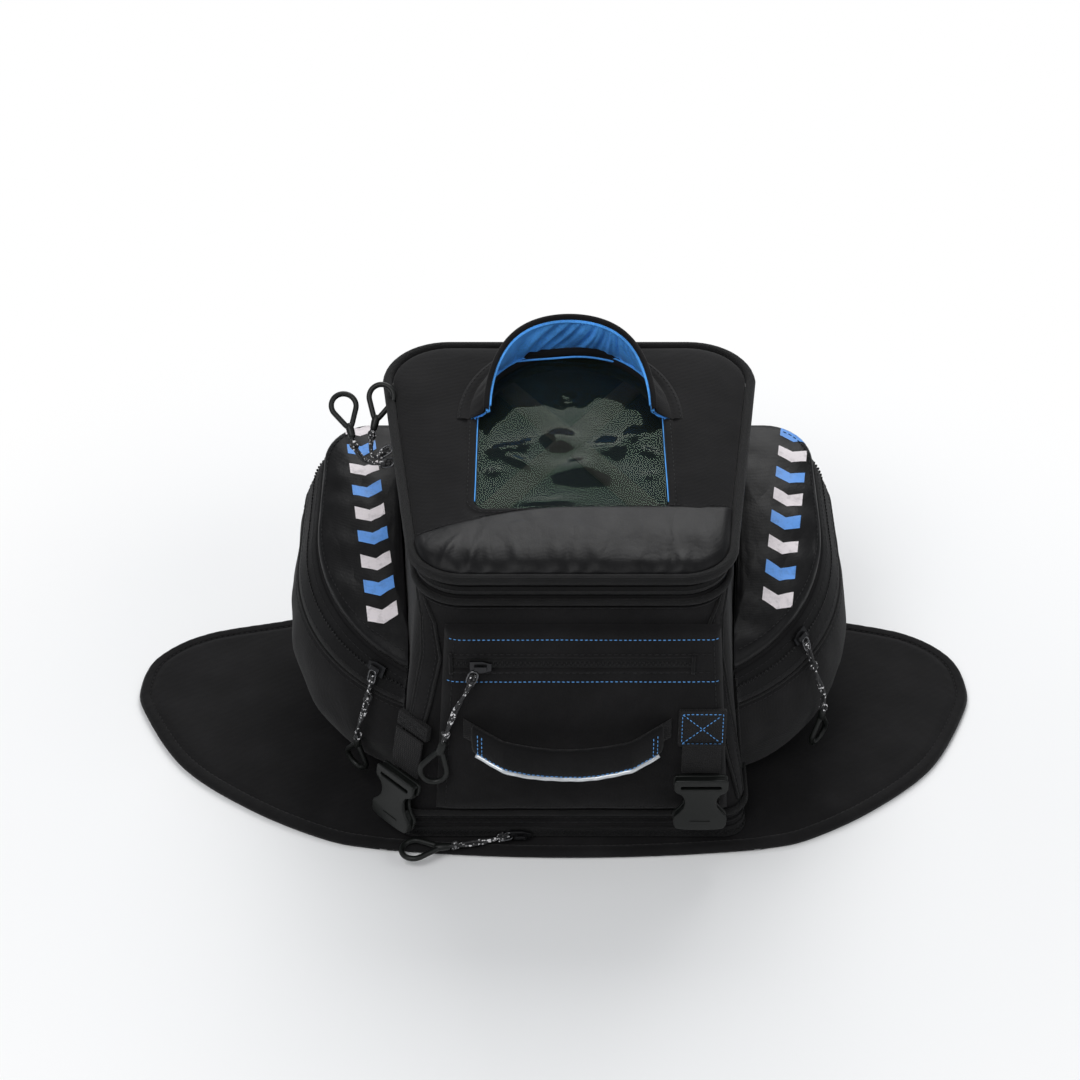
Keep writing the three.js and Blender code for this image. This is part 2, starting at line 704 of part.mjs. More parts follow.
// A frame on the bag's left near corner: it faces half left and leans with the corner.
function cornerFrame(height) {
  const diagonal = new THREE.Vector2(-1, -1).normalize();
  const apex = ({ half, y, radius }) =>
    new THREE.Vector2(radius - half, y + radius).addScaledVector(diagonal, radius);
  const low = apex(nearBottom);
  const high = apex(nearTop);
  const foot = low.clone().lerp(high, height / frontRiseHeight);
  const frame = new THREE.Group();
  frame.rotation.order = "ZXY";
  frame.rotation.z = -Math.PI / 4;
  frame.rotation.x = -Math.atan2(low.distanceTo(high), frontRiseHeight);
  frame.position.set(foot.x, foot.y, bagBottom + height);
  bag.add(frame);
  return frame;
}

function buildStraps() {
  const right = new THREE.Group();
  right.position.set(rightStrapPlace, 0, strapTop - patchHeight);
  front.add(right);
  buildStrap("right", right, frontFace(), frontFace() + gap);
  const pipingOut = gap + 2 * seamPipingRadius;
  buildStrap("left", cornerFrame(strapTop - patchHeight), pipingOut / 3, pipingOut + 1.5 * gap);
}

// ================= Side pockets =================

const baseTapeTop = baseTapeShare + baseTapeWidth / 2 / (rimNear - bagBottom);
const pocketBottom = bagHeight(farTop.y, baseTapeTop) + 2.5 * gap; // clear of the base zip's tape

const pocketSlope = (pocketLidFar - pocketLidNear) / (pocketFarY - pocketNearY);
const pocketPlane = (y) => pocketLidNear + (y - pocketNearY) * pocketSlope;

// A pocket's outline at one level: an arc from the rider's end, a straight side and a rounded far corner.
// The last two points lie inside the bag.
function pocketOutline(level, inset = 0) {
  const radius = level.radius - inset;
  const centreX = level.out - level.radius;
  const reach = Math.min(0.97, (level.radius - (level.out - pocketInside - 6)) / level.radius);
  const from = -THREE.MathUtils.radToDeg(Math.acos(reach));
  const arc = arcPoints(centreX, level.y, radius, from, 0, 9);
  const sideTop = new THREE.Vector2(level.out - inset, level.farY - pocketCorner);
  const corner = arcPoints(sideTop.x - pocketCorner + inset, sideTop.y, pocketCorner - inset, 0, 90, 4);
  const end = corner.at(-1);
  return [
    ...arc,
    ...between(arc.at(-1), sideTop, 2),
    ...corner,
    new THREE.Vector2(pocketInside, end.y),
    new THREE.Vector2(pocketInside, arc[0].y),
  ];
}

// The pocket's wall between its low, middle and top outlines, as one ring of points.
function pocketRing(side, share, inset = 0) {
  const low = pocketOutline(pocketLow, inset);
  const mid = pocketOutline(pocketMid, inset);
  const top = pocketOutline(pocketTop, inset);
  const [a, b, c] = [(1 - share) ** 2, 2 * share * (1 - share), share ** 2];
  return low.map((p, i) => {
    const x = p.x * a + mid[i].x * b + top[i].x * c;
    const y = p.y * a + mid[i].y * b + top[i].y * c;
    const high = pocketPlane(y) - pocketLidThickness - gap;
    return new THREE.Vector3(side * x, y, mix(pocketBottom, high, share));
  });
}

const pocketShares = [0, 0.06, 0.3, 0.55, pocketTapeLow, 1];
const lift = (ring, height) => ring.map((p) => p.clone().setZ(p.z + height));

function buildPocketShell(side, label, block, innerBlock) {
  const foot = lift(pocketRing(side, 0, 6), 0);
  const outer = loft([foot, ...pocketShares.slice(1).map((share) => pocketRing(side, share))]);
  const floor = lift(pocketRing(side, 0, 6 + pocketWall), pocketWall);
  const inside = pocketShares.slice(2).map((share) => pocketRing(side, share, pocketWall));
  const hollow = loft([floor, ...inside, lift(inside.at(-1), 40)]);
  const room = toSolid(hollow).subtract(innerBlock);
  const wall = toSolid(outer).subtract(block).subtract(room);
  const piping = roundBag(pipingSection(seamPipingRadius, 6, gap), atShare(basePipingShare));
  addPart(`${label}_pocket`, cut(fromSolid(wall), piping), "fabric");
}

// The flap turns on a straight line along the bag's wall, at the flap's highest points.
function flapAxis(side) {
  return [-60, 110].map((y) => {
    const height = pocketPlane(y) + pocketLidCrown;
    const share = (height - bagBottom) / (rimHeight(y) - bagBottom);
    return new THREE.Vector3(side * (wallHalf(y, share) + 1), y, height);
  });
}

// Half-width of the bag's wall at a place along it.
function wallHalf(y, share) {
  const nearY = mix(nearBottom.y + nearBottom.radius, nearTop.y + nearTop.radius, share);
  const farY = mix(farBottom.y - farBottom.radius, farTop.y - farTop.radius, share);
  const along = (y - nearY) / (farY - nearY);
  return mix(mix(nearBottom.half, nearTop.half, share), mix(farBottom.half, farTop.half, share), along);
}

function buildPocketLid(side, label, block) {
  const [axisNear, axisFar] = flapAxis(side);
  const axisX = (y) => mix(axisNear.x, axisFar.x, (y - axisNear.y) / (axisFar.y - axisNear.y));
  const outline = pocketOutline(pocketTop).map((p) => new THREE.Vector2(side * p.x, p.y));
  const spineX = side * 150;
  const spineY = 30;
  const ring = (scale, z) =>
    outline.map((p) => {
      const x = mix(spineX, p.x, scale);
      const y = mix(spineY, p.y, scale);
      return new THREE.Vector3(x, y, pocketPlane(y) + z(scale));
    });
  const crown = (scale) => pocketLidCrown * (1 - scale ** 2);
  const block0 = loft([
    ring(1, () => -pocketLidThickness),
    ring(1, () => -1.5),
    ring(0.94, crown),
    ring(0.75, crown),
    ring(0.5, crown),
    ring(0.22, crown),
  ]);
  // what lies inside the hinge line is cut away, so that the flap can turn
  const cutter = new THREE.Shape();
  const [y0, y1] = [-200, 260];
  cutter.moveTo(axisX(y0), y0);
  cutter.lineTo(axisX(y1), y1);
  cutter.lineTo(0, y1);
  cutter.lineTo(0, y0);
  const flap = toSolid(block0).subtract(block).subtract(toSolid(extrude(cutter, 400)));
  addPart(`${label}_pocket_lid`, fromSolid(flap), "satin");
}

// The zip band of a pocket, sewn on its wall just under the flap.
function buildPocketZip(side, label) {
  const low = pocketRing(side, pocketTapeLow);
  const high = pocketRing(side, 1);
  const count = low.length - 3; // the arc, the side and the far corner
  const rings = [];
  for (let i = 1; i < count; i += 1) {
    const lowPoint = low[i].clone().lerp(high[i], 0.45);
    const highPoint = low[i].clone().lerp(high[i], 0.97);
    const along = high[i + 1].clone().sub(high[i - 1]);
    const up = highPoint.clone().sub(lowPoint);
    const outward = along.cross(up).normalize().multiplyScalar(side);
    const inner = outward.clone().multiplyScalar(gap + pocketTapeOut);
    const outer = outward.clone().multiplyScalar(gap + pocketTapeOut + tapeThickness);
    rings.push([
      lowPoint.clone().add(inner),
      highPoint.clone().add(inner),
      highPoint.clone().add(outer),
      lowPoint.clone().add(outer),
    ]);
  }
  const band = toSolid(loft(rings)).subtract(toSolid(bagBlock(gap)));
  addPart(`${label}_pocket_zip_tape`, fromSolid(band), "fabric");
}

// ================= Zip sliders and pulls =================

// A slider lies on its tape: x along the zip, z away from the tape.
function sliderGeometry() {
  const [l, w] = [sliderLength / 2, sliderWidth / 2];
  const plate = new THREE.Shape();
  plate.moveTo(-l, -w * 0.6);
  plate.lineTo(-l * 0.2, -w);
  plate.lineTo(l, -w);
  plate.lineTo(l, w);
  plate.lineTo(-l * 0.2, w);
  plate.lineTo(-l, w * 0.6);
  const arch = roundedShape(sliderLength * 0.6, sliderHeight, 1, 0, sliderHeight / 2);
  arch.holes.push(roundedShape(sliderLength * 0.3, sliderHeight - 3.2, 0.3, 0, sliderHeight / 2 + 0.5));
  const bridge = extrude(arch, 3, -1.5, 1).rotateX(Math.PI / 2);
  return join(extrude(plate, sliderHeight / 2), bridge);
}

// A moulded loop: a teardrop ring in the plane of x (along the pull) and y.
function loopGeometry() {
  const teardrop = (inset) => {
    const half = loopWidth / 2 - inset;
    const foot = inset ? loopStock * 1.5 : 0;
    const neck = inset ? 0.5 : 3;
    return [
      ...arcPoints(loopLength - loopWidth / 2, 0, half, -105, 105, 10),
      new THREE.Vector2(foot, neck),
      new THREE.Vector2(foot, -neck),
    ];
  };
  const shape = new THREE.Shape(teardrop(0));
  shape.holes.push(new THREE.Path(teardrop(loopStock).reverse()));
  return extrude(shape, loopThickness, -loopThickness / 2);
}

// A frame on a tape: x along the zip and z out of the tape.
function tapeFrame(parent, at, along, face) {
  const frame = new THREE.Group();
  const x = along.clone().normalize();
  const y = new THREE.Vector3().crossVectors(face, x).normalize();
  const z = new THREE.Vector3().crossVectors(x, y);
  frame.quaternion.setFromRotationMatrix(new THREE.Matrix4().makeBasis(x, y, z));
  frame.position.copy(at);
  parent.add(frame);
  return frame;
}

// The cord runs through points in the frame's own axes, and the loop follows its end. facing is the
// direction of the loop's flat side.
function buildZip(name, frame, points, facing) {
  addPart(`${name}_slider`, sliderGeometry(), "metal", frame);
  addPart(`${name}_pull_cord`, tube(points, cordDiameter / 2, 8, 7), "cord", frame);
  const along = points.at(-1).clone().sub(points.at(-2)).normalize();
  const across = new THREE.Vector3().crossVectors(facing, along).normalize();
  const normal = new THREE.Vector3().crossVectors(along, across);
  const loop = addPart(`${name}_pull_loop`, loopGeometry(), "plastic", frame);
  loop.quaternion.setFromRotationMatrix(new THREE.Matrix4().makeBasis(along, across, normal));
  loop.position.copy(points.at(-1)).addScaledVector(along, gap);
}

const vectors = (list) => list.map((p) => new THREE.Vector3(...p));
const vector = (...p) => new THREE.Vector3(...p);
const onTape = gap + tapeThickness + gap; // a slider's distance from what its tape lies on

// The front pocket's pull hangs down to the left, beside the handle.
function buildFrontZip() {
  const at = vector(-frontZipSliderPlace, out(frontFace() + onTape), frontZipHeight);
  const frame = tapeFrame(front, at, vector(-1, 0, 0), vector(0, -1, 0));
  const rest = loopThickness / 2 + 2 * gap - onTape; // how high the pull lies when it rests on the pocket
  const route = [[5, 5.8, 2.7], [9, 17, 2.4], [18, 36, rest], [25, 55, rest], [29, 68, rest]];
  buildZip("front_zip", frame, vectors(route), vector(0, 0, 1));
}

// The base zip's pull lies on the leaf along the bag's foot.
function buildBaseZip() {
  const height = baseTapeShare * frontRiseHeight;
  const y = nearBottom.y - onTape - gap;
  const at = vector(-baseZipSliderPlace, y, bagBottom + height);
  const frame = tapeFrame(bag, at, vector(-1, 0, 0), vector(0, -1, 0));
  const rest = height - loopThickness / 2 - gap / 2; // down from the slider to the leaf
  const aside = loopWidth / 2 + gap;
  const route = [
    [8.3, 0, 2.6], [18, rest - 0.5, 5], [32, rest, 8.5], [46, rest, aside - 1], [57, rest, aside],
  ];
  buildZip("base_zip", frame, vectors(route), vector(0, 1, 0));
}

// Both sliders of the lid's zip are parked on the left side. Their stiff pulls stand away from the rider,
// one along the lid's piping and the other further out.
function buildLidZips() {
  const plan = lidPlan();
  const start = plan[0]; // where the left side meets the near corner
  const end = plan[plan.length - 2]; // and the far corner
  const direction = end.clone().sub(start).normalize();
  const normal = new THREE.Vector2(-direction.y, direction.x);
  const past = 2 * lidPipingRadius + gap + loopThickness / 2 + 2 * gap - onTape;
  const zips = {
    lid_zip_far: { y: lidSliderPlace + sliderLength + 3, route: [
      [2, 0, 7.6], [12, -1, past - 0.4], [28, -4, past], [44, -9, past], [55, -12.5, past],
    ] },
    lid_zip_near: { y: lidSliderPlace, route: [
      [2, -1, 7.4], [15, -2, 11], [31, -4, 16], [49, -7, 21], [63, -10, 25.5],
    ] },
  };
  for (const [name, { y, route }] of Object.entries(zips)) {
    const spot = start.clone().addScaledVector(direction, (y - start.y) / direction.y);
    spot.addScaledVector(normal, onTape);
    const at = vector(spot.x, spot.y, lidTapeHeight);
    const frame = tapeFrame(lidFrame, at, vector(direction.x, direction.y, 0), vector(normal.x, normal.y, 0));
    buildZip(name, frame, vectors(route), vector(0, 0, 1));
  }
}

// A side pocket's pull hangs down the pocket's wall.
function buildPocketSlider(side, label) {
  const place = pocketSliderPlace[label];
  const wall = (share, outward, shift = 0) => {
    const ring = pocketRing(side, share, -outward);
    return ring[place].clone().lerp(ring[place + 1], shift);
  };
  const tapeShare = mix(pocketTapeLow, 1, 0.7);
  const ring = pocketRing(side, tapeShare);
  const along = ring[place + 1].clone().sub(ring[place - 1]);
  const up = wall(1, 0).sub(wall(pocketTapeLow, 0));
  const face = along.clone().cross(up).normalize().multiplyScalar(side);
  const at = wall(tapeShare, 0).addScaledVector(face, onTape);
  const frame = tapeFrame(bag, at, along.multiplyScalar(side), face);
  frame.updateMatrixWorld(true);
  const below = vector(0, -sliderWidth / 2 - 2 * gap, sliderHeight - 1);
  const hanging = [
    wall(0.7, 7.4, 0.15),
    wall(0.58, 7.6, 0.35),
    wall(0.46, 7.4, 0.5),
    wall(0.37, 7.2, 0.6),
  ].map((p) => frame.worldToLocal(p));
  buildZip(`${label}_pocket_zip`, frame, [below, ...hanging], vector(0, 0, 1));
}

// ================= Assembly =================

const block = toSolid(bagBlock(gap));
const innerBlock = toSolid(bagBlock(gap + pocketWall - 0.8));
const flapBlock = toSolid(bagBlock(foldGap));

buildBase();
buildMainBag();
buildLidPanel();
buildMapSleeve();
buildGusset();
buildFrontPad();
buildHood();
buildFrontPocket();
buildHandle();
buildStraps();
for (const [side, label] of [
  [-1, "left"],
  [1, "right"],
]) {
  buildWing(side, label);
  buildPocketShell(side, label, block, innerBlock);
  buildPocketLid(side, label, flapBlock);
  buildPocketZip(side, label);
  buildPocketSlider(side, label);
}
buildFrontZip();
buildBaseZip();
buildLidZips();

export default bag;
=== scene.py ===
"""A motorcycle tank bag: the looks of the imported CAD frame, in metres, in the frame's own axes."""

import math

import bmesh
import bpy
import numpy as np
from mathutils import Matrix, Vector
from mathutils.bvhtree import BVHTree


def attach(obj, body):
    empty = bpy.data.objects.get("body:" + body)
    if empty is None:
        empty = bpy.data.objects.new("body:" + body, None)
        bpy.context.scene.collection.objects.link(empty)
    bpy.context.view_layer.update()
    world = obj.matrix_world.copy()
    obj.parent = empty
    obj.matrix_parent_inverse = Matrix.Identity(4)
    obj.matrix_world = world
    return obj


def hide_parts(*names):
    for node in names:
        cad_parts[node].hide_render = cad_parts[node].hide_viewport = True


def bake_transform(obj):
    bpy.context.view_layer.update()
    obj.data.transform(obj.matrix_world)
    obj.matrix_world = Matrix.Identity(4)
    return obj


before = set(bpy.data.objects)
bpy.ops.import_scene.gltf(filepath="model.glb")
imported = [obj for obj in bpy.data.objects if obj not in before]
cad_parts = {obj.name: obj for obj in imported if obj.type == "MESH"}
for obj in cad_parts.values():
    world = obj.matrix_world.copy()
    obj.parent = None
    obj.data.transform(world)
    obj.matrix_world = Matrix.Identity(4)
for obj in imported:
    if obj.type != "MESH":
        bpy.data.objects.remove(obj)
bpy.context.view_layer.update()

# ---- Sizes in millimetres: the CAD model's, apart from what soft pieces may differ by ----
MM = 0.001
GAP = 0.4  # left between two pieces
SIDES = ((-1, "left"), (1, "right"))
UP = (0, 0, 1)
BAG_BOTTOM = 7.0
NEAR_BOTTOM = np.array([130.0, -141.0, 16.0])  # half width, y, corner radius
NEAR_TOP = np.array([109.0, -113.0, 34.0])
FAR_BOTTOM = np.array([134.0, 136.0, 20.0])
FAR_TOP = np.array([136.0, 149.0, 42.0])
BAG_MIDDLE = (0.0, 10.0)
RIM_NEAR, RIM_FAR = 211.0, 229.0
SHELL_WALL, WELT_RADIUS = 4.0, 2.2
BASE_PIPING_SHARE, RIM_PIPING_SHARE, BASE_TAPE_SHARE = 0.115, 0.985, 0.025
ROOT_NEAR, ROOT_FAR, WING_ROOT, HALF_SPAN = 150.0, 155.0, 138.0, 338.0
LEAF_CUT = 122.0  # where a wing's cloth meets the middle of the leaf
LEAF_BOTTOM, BINDING_WIDTH, SEAM_HEIGHT = 1.6, 8.5, 5.25
LID_BOTTOM, LID_TOP, LID_CROWN = 12.8, 22.8, 4.0
LID_PUFF = 8.0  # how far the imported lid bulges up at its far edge
WINDOW_HALF, WINDOW_NEAR, WINDOW_FAR, WINDOW_CORNER = 70.0, -49.0, 134.0, 10.0
WINDOW_CENTRE = np.array([0.0, (WINDOW_NEAR + WINDOW_FAR) / 2])
PAD_FAR, PAD_SIDE, PAD_INSET, PAD_SLANT = -49.0, -80.0, -1.8, 0.11
FRONT_FACE = 9.4  # how far the front pocket stands in front of the wall
FRONT_LOW, FRONT_HIGH = 26.7, 183.0
FRONT_LEFT, FRONT_RIGHT = (-99.0, -89.0), (115.0, 104.0)  # at its foot and at its top
FRONT_ZIP_UP, FRONT_ZIP_HALF, FRONT_ZIP_OUT = 156.0, 84.0, 8.3
FRONT_BLUE_SEAMS, FRONT_DARK_SEAMS = (175.2, 140.8), (148.6, 163.6, 32.0)
FRONT_FOLDS = ((141.0, 2.0, 0.4), (174.5, 2.2, 0.35))  # height up the wall, width, depth
HANDLE_HALF, HANDLE_UP, HANDLE_SAG, HANDLE_REACH, HANDLE_SHIFT = 74.0, 103.6, 18.8, 11.0, -3.0
GRIP_HALF, GRIP_WIDTH, GRIP_THICKNESS = 68.0, 22.0, 10.0
STRAP_UP, STRAP_WIDTH, RIGHT_STRAP_X, WEBBING_THICKNESS = 88.0, 28.0, 93.2, 1.8
BUCKLE_HALF, BUCKLE_LENGTH = 19.5, 43.0
HOOD_HALF, HOOD_FEET, HOOD_BACK, HOOD_RIM_BACK = 74.0, 50.0, 141.0, 127.0
HOOD_RISE, HOOD_FOOT_RISE, HOOD_LEAN = 37.0, 7.0, 12.0
POCKET_BOTTOM, POCKET_CORNER, POCKET_INSIDE = 17.9, 36.0, 100.0
POCKET_LEVELS = [(190, 10, 96, 128), (244, 28, 155, 137), (193, 38, 152, 138)]  # out, y, radius, far y
FLAP_NEAR, FLAP_FAR, FLAP_NEAR_Y, FLAP_FAR_Y = 136.0, 192.0, -85.0, 138.0
FLAP_THICKNESS, FLAP_CROWN = 7.0, 8.0
FLAP_SPINE = np.array([150.0, 30.0])
CHEVRON_ENDS = {-1: ((-167.0, 129.5), (-138.5, -53.0)), 1: ((180.5, 124.0), (153.5, -40.0))}  # first and last
CHEVRON_COUNT = {-1: 9, 1: 8}
CHEVRON_WIDTH, CHEVRON_LONG, CHEVRON_DIP = 22.5, 11.5, 5.5

RIM_SLOPE = (RIM_FAR - RIM_NEAR) / (FAR_TOP[1] - NEAR_TOP[1])
LID_TILT = math.atan(RIM_SLOPE)
LID_NEAR, LID_FAR = NEAR_TOP[1] / math.cos(LID_TILT), FAR_TOP[1] / math.cos(LID_TILT)
LID_NORMAL = np.array([0, -math.sin(LID_TILT), math.cos(LID_TILT)])
FRONT_LEAN = math.atan2(NEAR_TOP[1] - NEAR_BOTTOM[1], RIM_NEAR - BAG_BOTTOM)
FRONT_NORMAL = np.array([0, -math.cos(FRONT_LEAN), math.sin(FRONT_LEAN)])


# ================= Small helpers =================

def mix(a, b, t):
    return a + (b - a) * t


def unit(v):
    v = np.asarray(v, float)
    return v / np.maximum(np.linalg.norm(v, axis=-1, keepdims=True), 1e-9)


def smooth_step(t):
    t = np.clip(t, 0, 1)
    return t * t * (3 - 2 * t)


def quarter(distance, radius):
    """A rounded edge: 0 at the edge, 1 from radius on."""
    t = np.clip(np.asarray(distance, float) / radius, 0, 1)
    return np.sqrt(1 - (1 - t) ** 2)


def hump(x, middle, width, power=2):
    """A smooth ridge of height 1."""
    return np.exp(-(((x - middle) / width) ** power))


def level(xy, z):
    """The points of a plan, a row or a grid of them, at a height or each at its own."""
    xy = np.asarray(xy, float)
    return np.concatenate([xy[..., :2], np.broadcast_to(z, xy.shape[:-1])[..., None]], -1)


def swell(points, size, seed, waves=7):
    """Smooth waviness between about -1 and 1, its bumps about size millimetres across."""
    rng = np.random.default_rng(seed)
    total = np.zeros(points.shape[:-1])
    for _ in range(waves):
        direction = unit(rng.normal(size=3)) * (2 * math.pi / size) * rng.uniform(0.6, 1.5)
        total += np.sin(points @ direction + rng.uniform(0, 2 * math.pi))
    return total / waves ** 0.5 / 1.4


def walked(path):
    """How far along a polyline each of its points is."""
    return np.r_[0, np.cumsum(np.linalg.norm(np.diff(path, axis=0), axis=1))]


def resample(path, step=None, count=None, closed=False):
    """Points at even steps along a polyline. A closed one ends on its first point again."""
    path = np.asarray(path, float)
    if closed:
        path = np.vstack([path, path[:1]])
    lengths = walked(path)
    count = count or max(2, int(round(lengths[-1] / step)) + 1)
    at = np.linspace(0, lengths[-1], count)
    return np.stack([np.interp(at, lengths, column) for column in path.T], 1)


def spline(points, count):
    """A Catmull-Rom curve through points."""
    p = np.asarray(points, float)
    p = np.vstack([2 * p[0] - p[1], p, 2 * p[-1] - p[-2]])
    out = []
    for t in np.linspace(0, len(points) - 1, count):
        i = min(int(t), len(points) - 2)
        f = t - i
        a, b, c, d = p[i : i + 4]
        out.append(0.5 * (2 * b + (c - a) * f + (2 * a - 5 * b + 4 * c - d) * f**2
                          + (3 * b - a - 3 * c + d) * f**3))
    return np.array(out)


def circle(sides):
    """Angles round a full turn."""
    return np.linspace(0, 2 * math.pi, sides, endpoint=False)


# ================= Materials =================

LOOKS = {}  # LOOKS = {} # name of a look: (material, material slot)


class Nodes:
    """A look's node tree under one Principled shader; in a socket's name an underscore stands for a space."""

    def __init__(self, name, slot, colour, roughness, **fixed):
        self.material = bpy.data.materials.new(name)
        self.material.use_nodes = True
        self.tree = self.material.node_tree
        self.shader = self.tree.nodes["Principled BSDF"]
        self.feed(self.shader, Base_Color=(*colour, 1), Roughness=roughness, **fixed)
        self.place = self.add("TexCoord").outputs["Object"]
        LOOKS[name] = (self.material, slot)

    def feed(self, node, *values, **named):
        """Fills a node's inputs, in order or by name, with values or with other nodes' outputs."""
        pairs = list(zip(node.inputs, values))
        pairs += [(node.inputs[key.replace("_", " ")], value) for key, value in named.items()]
        for socket, value in pairs:
            if isinstance(value, bpy.types.NodeSocket):
                self.tree.links.new(value, socket)
            else:
                socket.default_value = value

    def add(self, kind, *values, operation=None, **named):
        node = self.tree.nodes.new("ShaderNode" + kind)
        if operation:
            node.operation = operation
        self.feed(node, *values, **named)
        return node

    def math(self, operation, a, b=0.0):
        return self.add("Math", a, b, operation=operation).outputs[0]

    def noise(self, scale, detail=3.0, roughness=0.5, stretch=(1, 1, 1)):
        place = self.add("Mapping", Scale=stretch, Vector=self.place).outputs["Vector"]
        made = self.add("TexNoise", Scale=scale, Detail=detail, Roughness=roughness, Vector=place)
        return made.outputs["Fac"]

    def weave(self, pitch, turn=(0, 0, 0)):
        """A woven height: sines along the three axes, of which two show on any face."""
        place = self.add("Mapping", Rotation=turn, Scale=(2 * math.pi / pitch,) * 3, Vector=self.place)
        wave = self.add("VectorMath", place.outputs["Vector"], operation="SINE").outputs["Vector"]
        return self.add("VectorMath", wave, (0.33, 0.33, 0.33), operation="DOT_PRODUCT").outputs["Value"]

    def colours(self, factor, stops):
        ramp = self.add("ValToRGB", Fac=factor)
        elements = ramp.color_ramp.elements
        while len(elements) < len(stops):
            elements.new(0.5)
        for element, (position, colour) in zip(elements, stops):
            element.position = position
            element.color = (*colour, 1)
        self.feed(self.shader, Base_Color=ramp.outputs["Color"])

    def shades(self, factor, colour, *stops):
        """One colour at stops of (position, brightness)."""
        self.colours(factor, [(position, [c * bright for c in colour]) for position, bright in stops])

    def rough(self, factor, low, high):
        scaled = self.add("MapRange", Value=factor, To_Min=low, To_Max=high)
        self.feed(self.shader, Roughness=scaled.outputs["Result"])

    def bump(self, *layers):
        """Layers of (height, depth in metres), one on the other."""
        below = {}
        for height, depth in layers:
            node = self.add("Bump", Strength=1.0, Distance=depth, Height=height, **below)
            below = {"Normal": node.outputs["Normal"]}
        self.feed(self.shader, **below)


def fabric_look(name, slot, colour, pitch=0.0011, rough=(0.78, 0.95), sheen=0.08, depth=0.00007, turn=0.6):
    """Woven cloth: the weave, lint-like mottling and a slow change of tone."""
    nodes = Nodes(name, slot, colour, rough[1], Specular_IOR_Level=0.14,
                  Sheen_Weight=sheen, Sheen_Roughness=0.45)
    weave = nodes.weave(pitch, (0.15, 0.1, turn))
    slub = nodes.noise(520, 2, 0.6)
    tone = nodes.noise(24, 4, 0.6)
    mixed = nodes.math("ADD", nodes.math("MULTIPLY", tone, 0.7), nodes.math("MULTIPLY", slub, 0.3))
    nodes.shades(mixed, colour, (0.3, 0.6), (0.52, 1), (0.75, 1.6))
    nodes.rough(slub, *rough)
    nodes.bump((tone, 0.0009), (weave, depth), (slub, 0.00012))


def satin_look(name, slot, colour):
    """Light coated nylon: a very fine weave, crinkles, sharper folds and a broad sheen."""
    nodes = Nodes(name, slot, colour, 0.32, Sheen_Weight=0.03, Sheen_Roughness=0.3, Specular_IOR_Level=0.14)
    crinkle = nodes.noise(85, 5, 0.62, (1, 0.55, 1))
    fine = nodes.noise(700, 2, 0.5)
    nodes.shades(crinkle, colour, (0.3, 0.8), (0.7, 1.3))
    nodes.rough(crinkle, 0.32, 0.5)
    folds = nodes.math("ABSOLUTE", nodes.math("SUBTRACT", nodes.noise(24, 2, 0.55, (1, 0.5, 1)), 0.5))
    nodes.bump((folds, 0.0030), (crinkle, 0.0005), (nodes.weave(0.0008), 0.00003), (fine, 0.00002))


def ribbed_look(name, slot, colour, pitch=0.0016):
    """Webbing and tape: ribs across a slanted twill."""
    nodes = Nodes(name, slot, colour, 0.72, Sheen_Weight=0.06, Sheen_Roughness=0.4, Specular_IOR_Level=0.2)
    ribs = nodes.weave(pitch)
    twill = nodes.weave(pitch * 0.6, (0.8, 0.5, 0.8))
    tone = nodes.noise(60)
    nodes.shades(tone, colour, (0.3, 0.75), (0.7, 1.35))
    nodes.rough(tone, 0.62, 0.85)
    nodes.bump((ribs, 0.00022), (twill, 0.00014))


def hard_look(name, slot, colour, rough, grain=900, depth=0.00003, **fixed):
    """Moulded plastic or metal: a fine grain, handling marks and slightly uneven gloss."""
    nodes = Nodes(name, slot, colour, rough[0], **(fixed or {"Specular_IOR_Level": 0.3}))
    fine = nodes.noise(grain)
    marks = nodes.noise(140, 6, 0.7, (1, 3, 1))
    nodes.shades(marks, colour, (0.35, 0.85), (0.75, 1.2))
    nodes.rough(marks, *rough)
    nodes.bump((fine, depth), (marks, depth))


def cord_look(name, slot):
    """Round braid: black with pale flecks."""
    nodes = Nodes(name, slot, (0.02, 0.02, 0.022), 0.6, Sheen_Weight=0.04)
    cells = nodes.add("TexVoronoi", Scale=760, Vector=nodes.place)
    pick = nodes.add("SeparateColor", Color=cells.outputs["Color"])
    nodes.colours(pick.outputs["Red"], [(0.0, (0.007, 0.007, 0.008)), (0.84, (0.010, 0.010, 0.011)),
                                        (0.87, (0.60, 0.59, 0.60)), (1.0, (0.80, 0.79, 0.80))])
    nodes.bump((cells.outputs["Distance"], 0.0003))


def print_look(name, slot, colour):
    """A heat-pressed reflective print: slightly grainy and worn."""
    nodes = Nodes(name, slot, colour, 0.5, Metallic=0.0)
    wear = nodes.noise(180, 5, 0.65)
    nodes.shades(wear, colour, (0.28, 0.72), (0.5, 1), (0.8, 1.06))
    nodes.rough(wear, 0.42, 0.62)
    nodes.bump((wear, 0.0002), (nodes.weave(0.0012), 0.00006))


def film_look(name, slot):
    """Clear vinyl that greys what is under it; its base colour and its reflections are tinted green, a
    painted greenish reflection.
    """
    # The green in the base colour and in the specular tint is painted reflection, not a tint of the film
    # itself.
    nodes = Nodes(name, slot, (0.011, 0.018, 0.0125), 0.07, Alpha=0.27, Specular_IOR_Level=0.17,
                  Specular_Tint=(0.60, 0.98, 0.69, 1))
    haze = nodes.noise(22, 4, 0.6, (1, 0.6, 1))
    nodes.rough(haze, 0.015, 0.045)
    nodes.bump((haze, 0.0006))


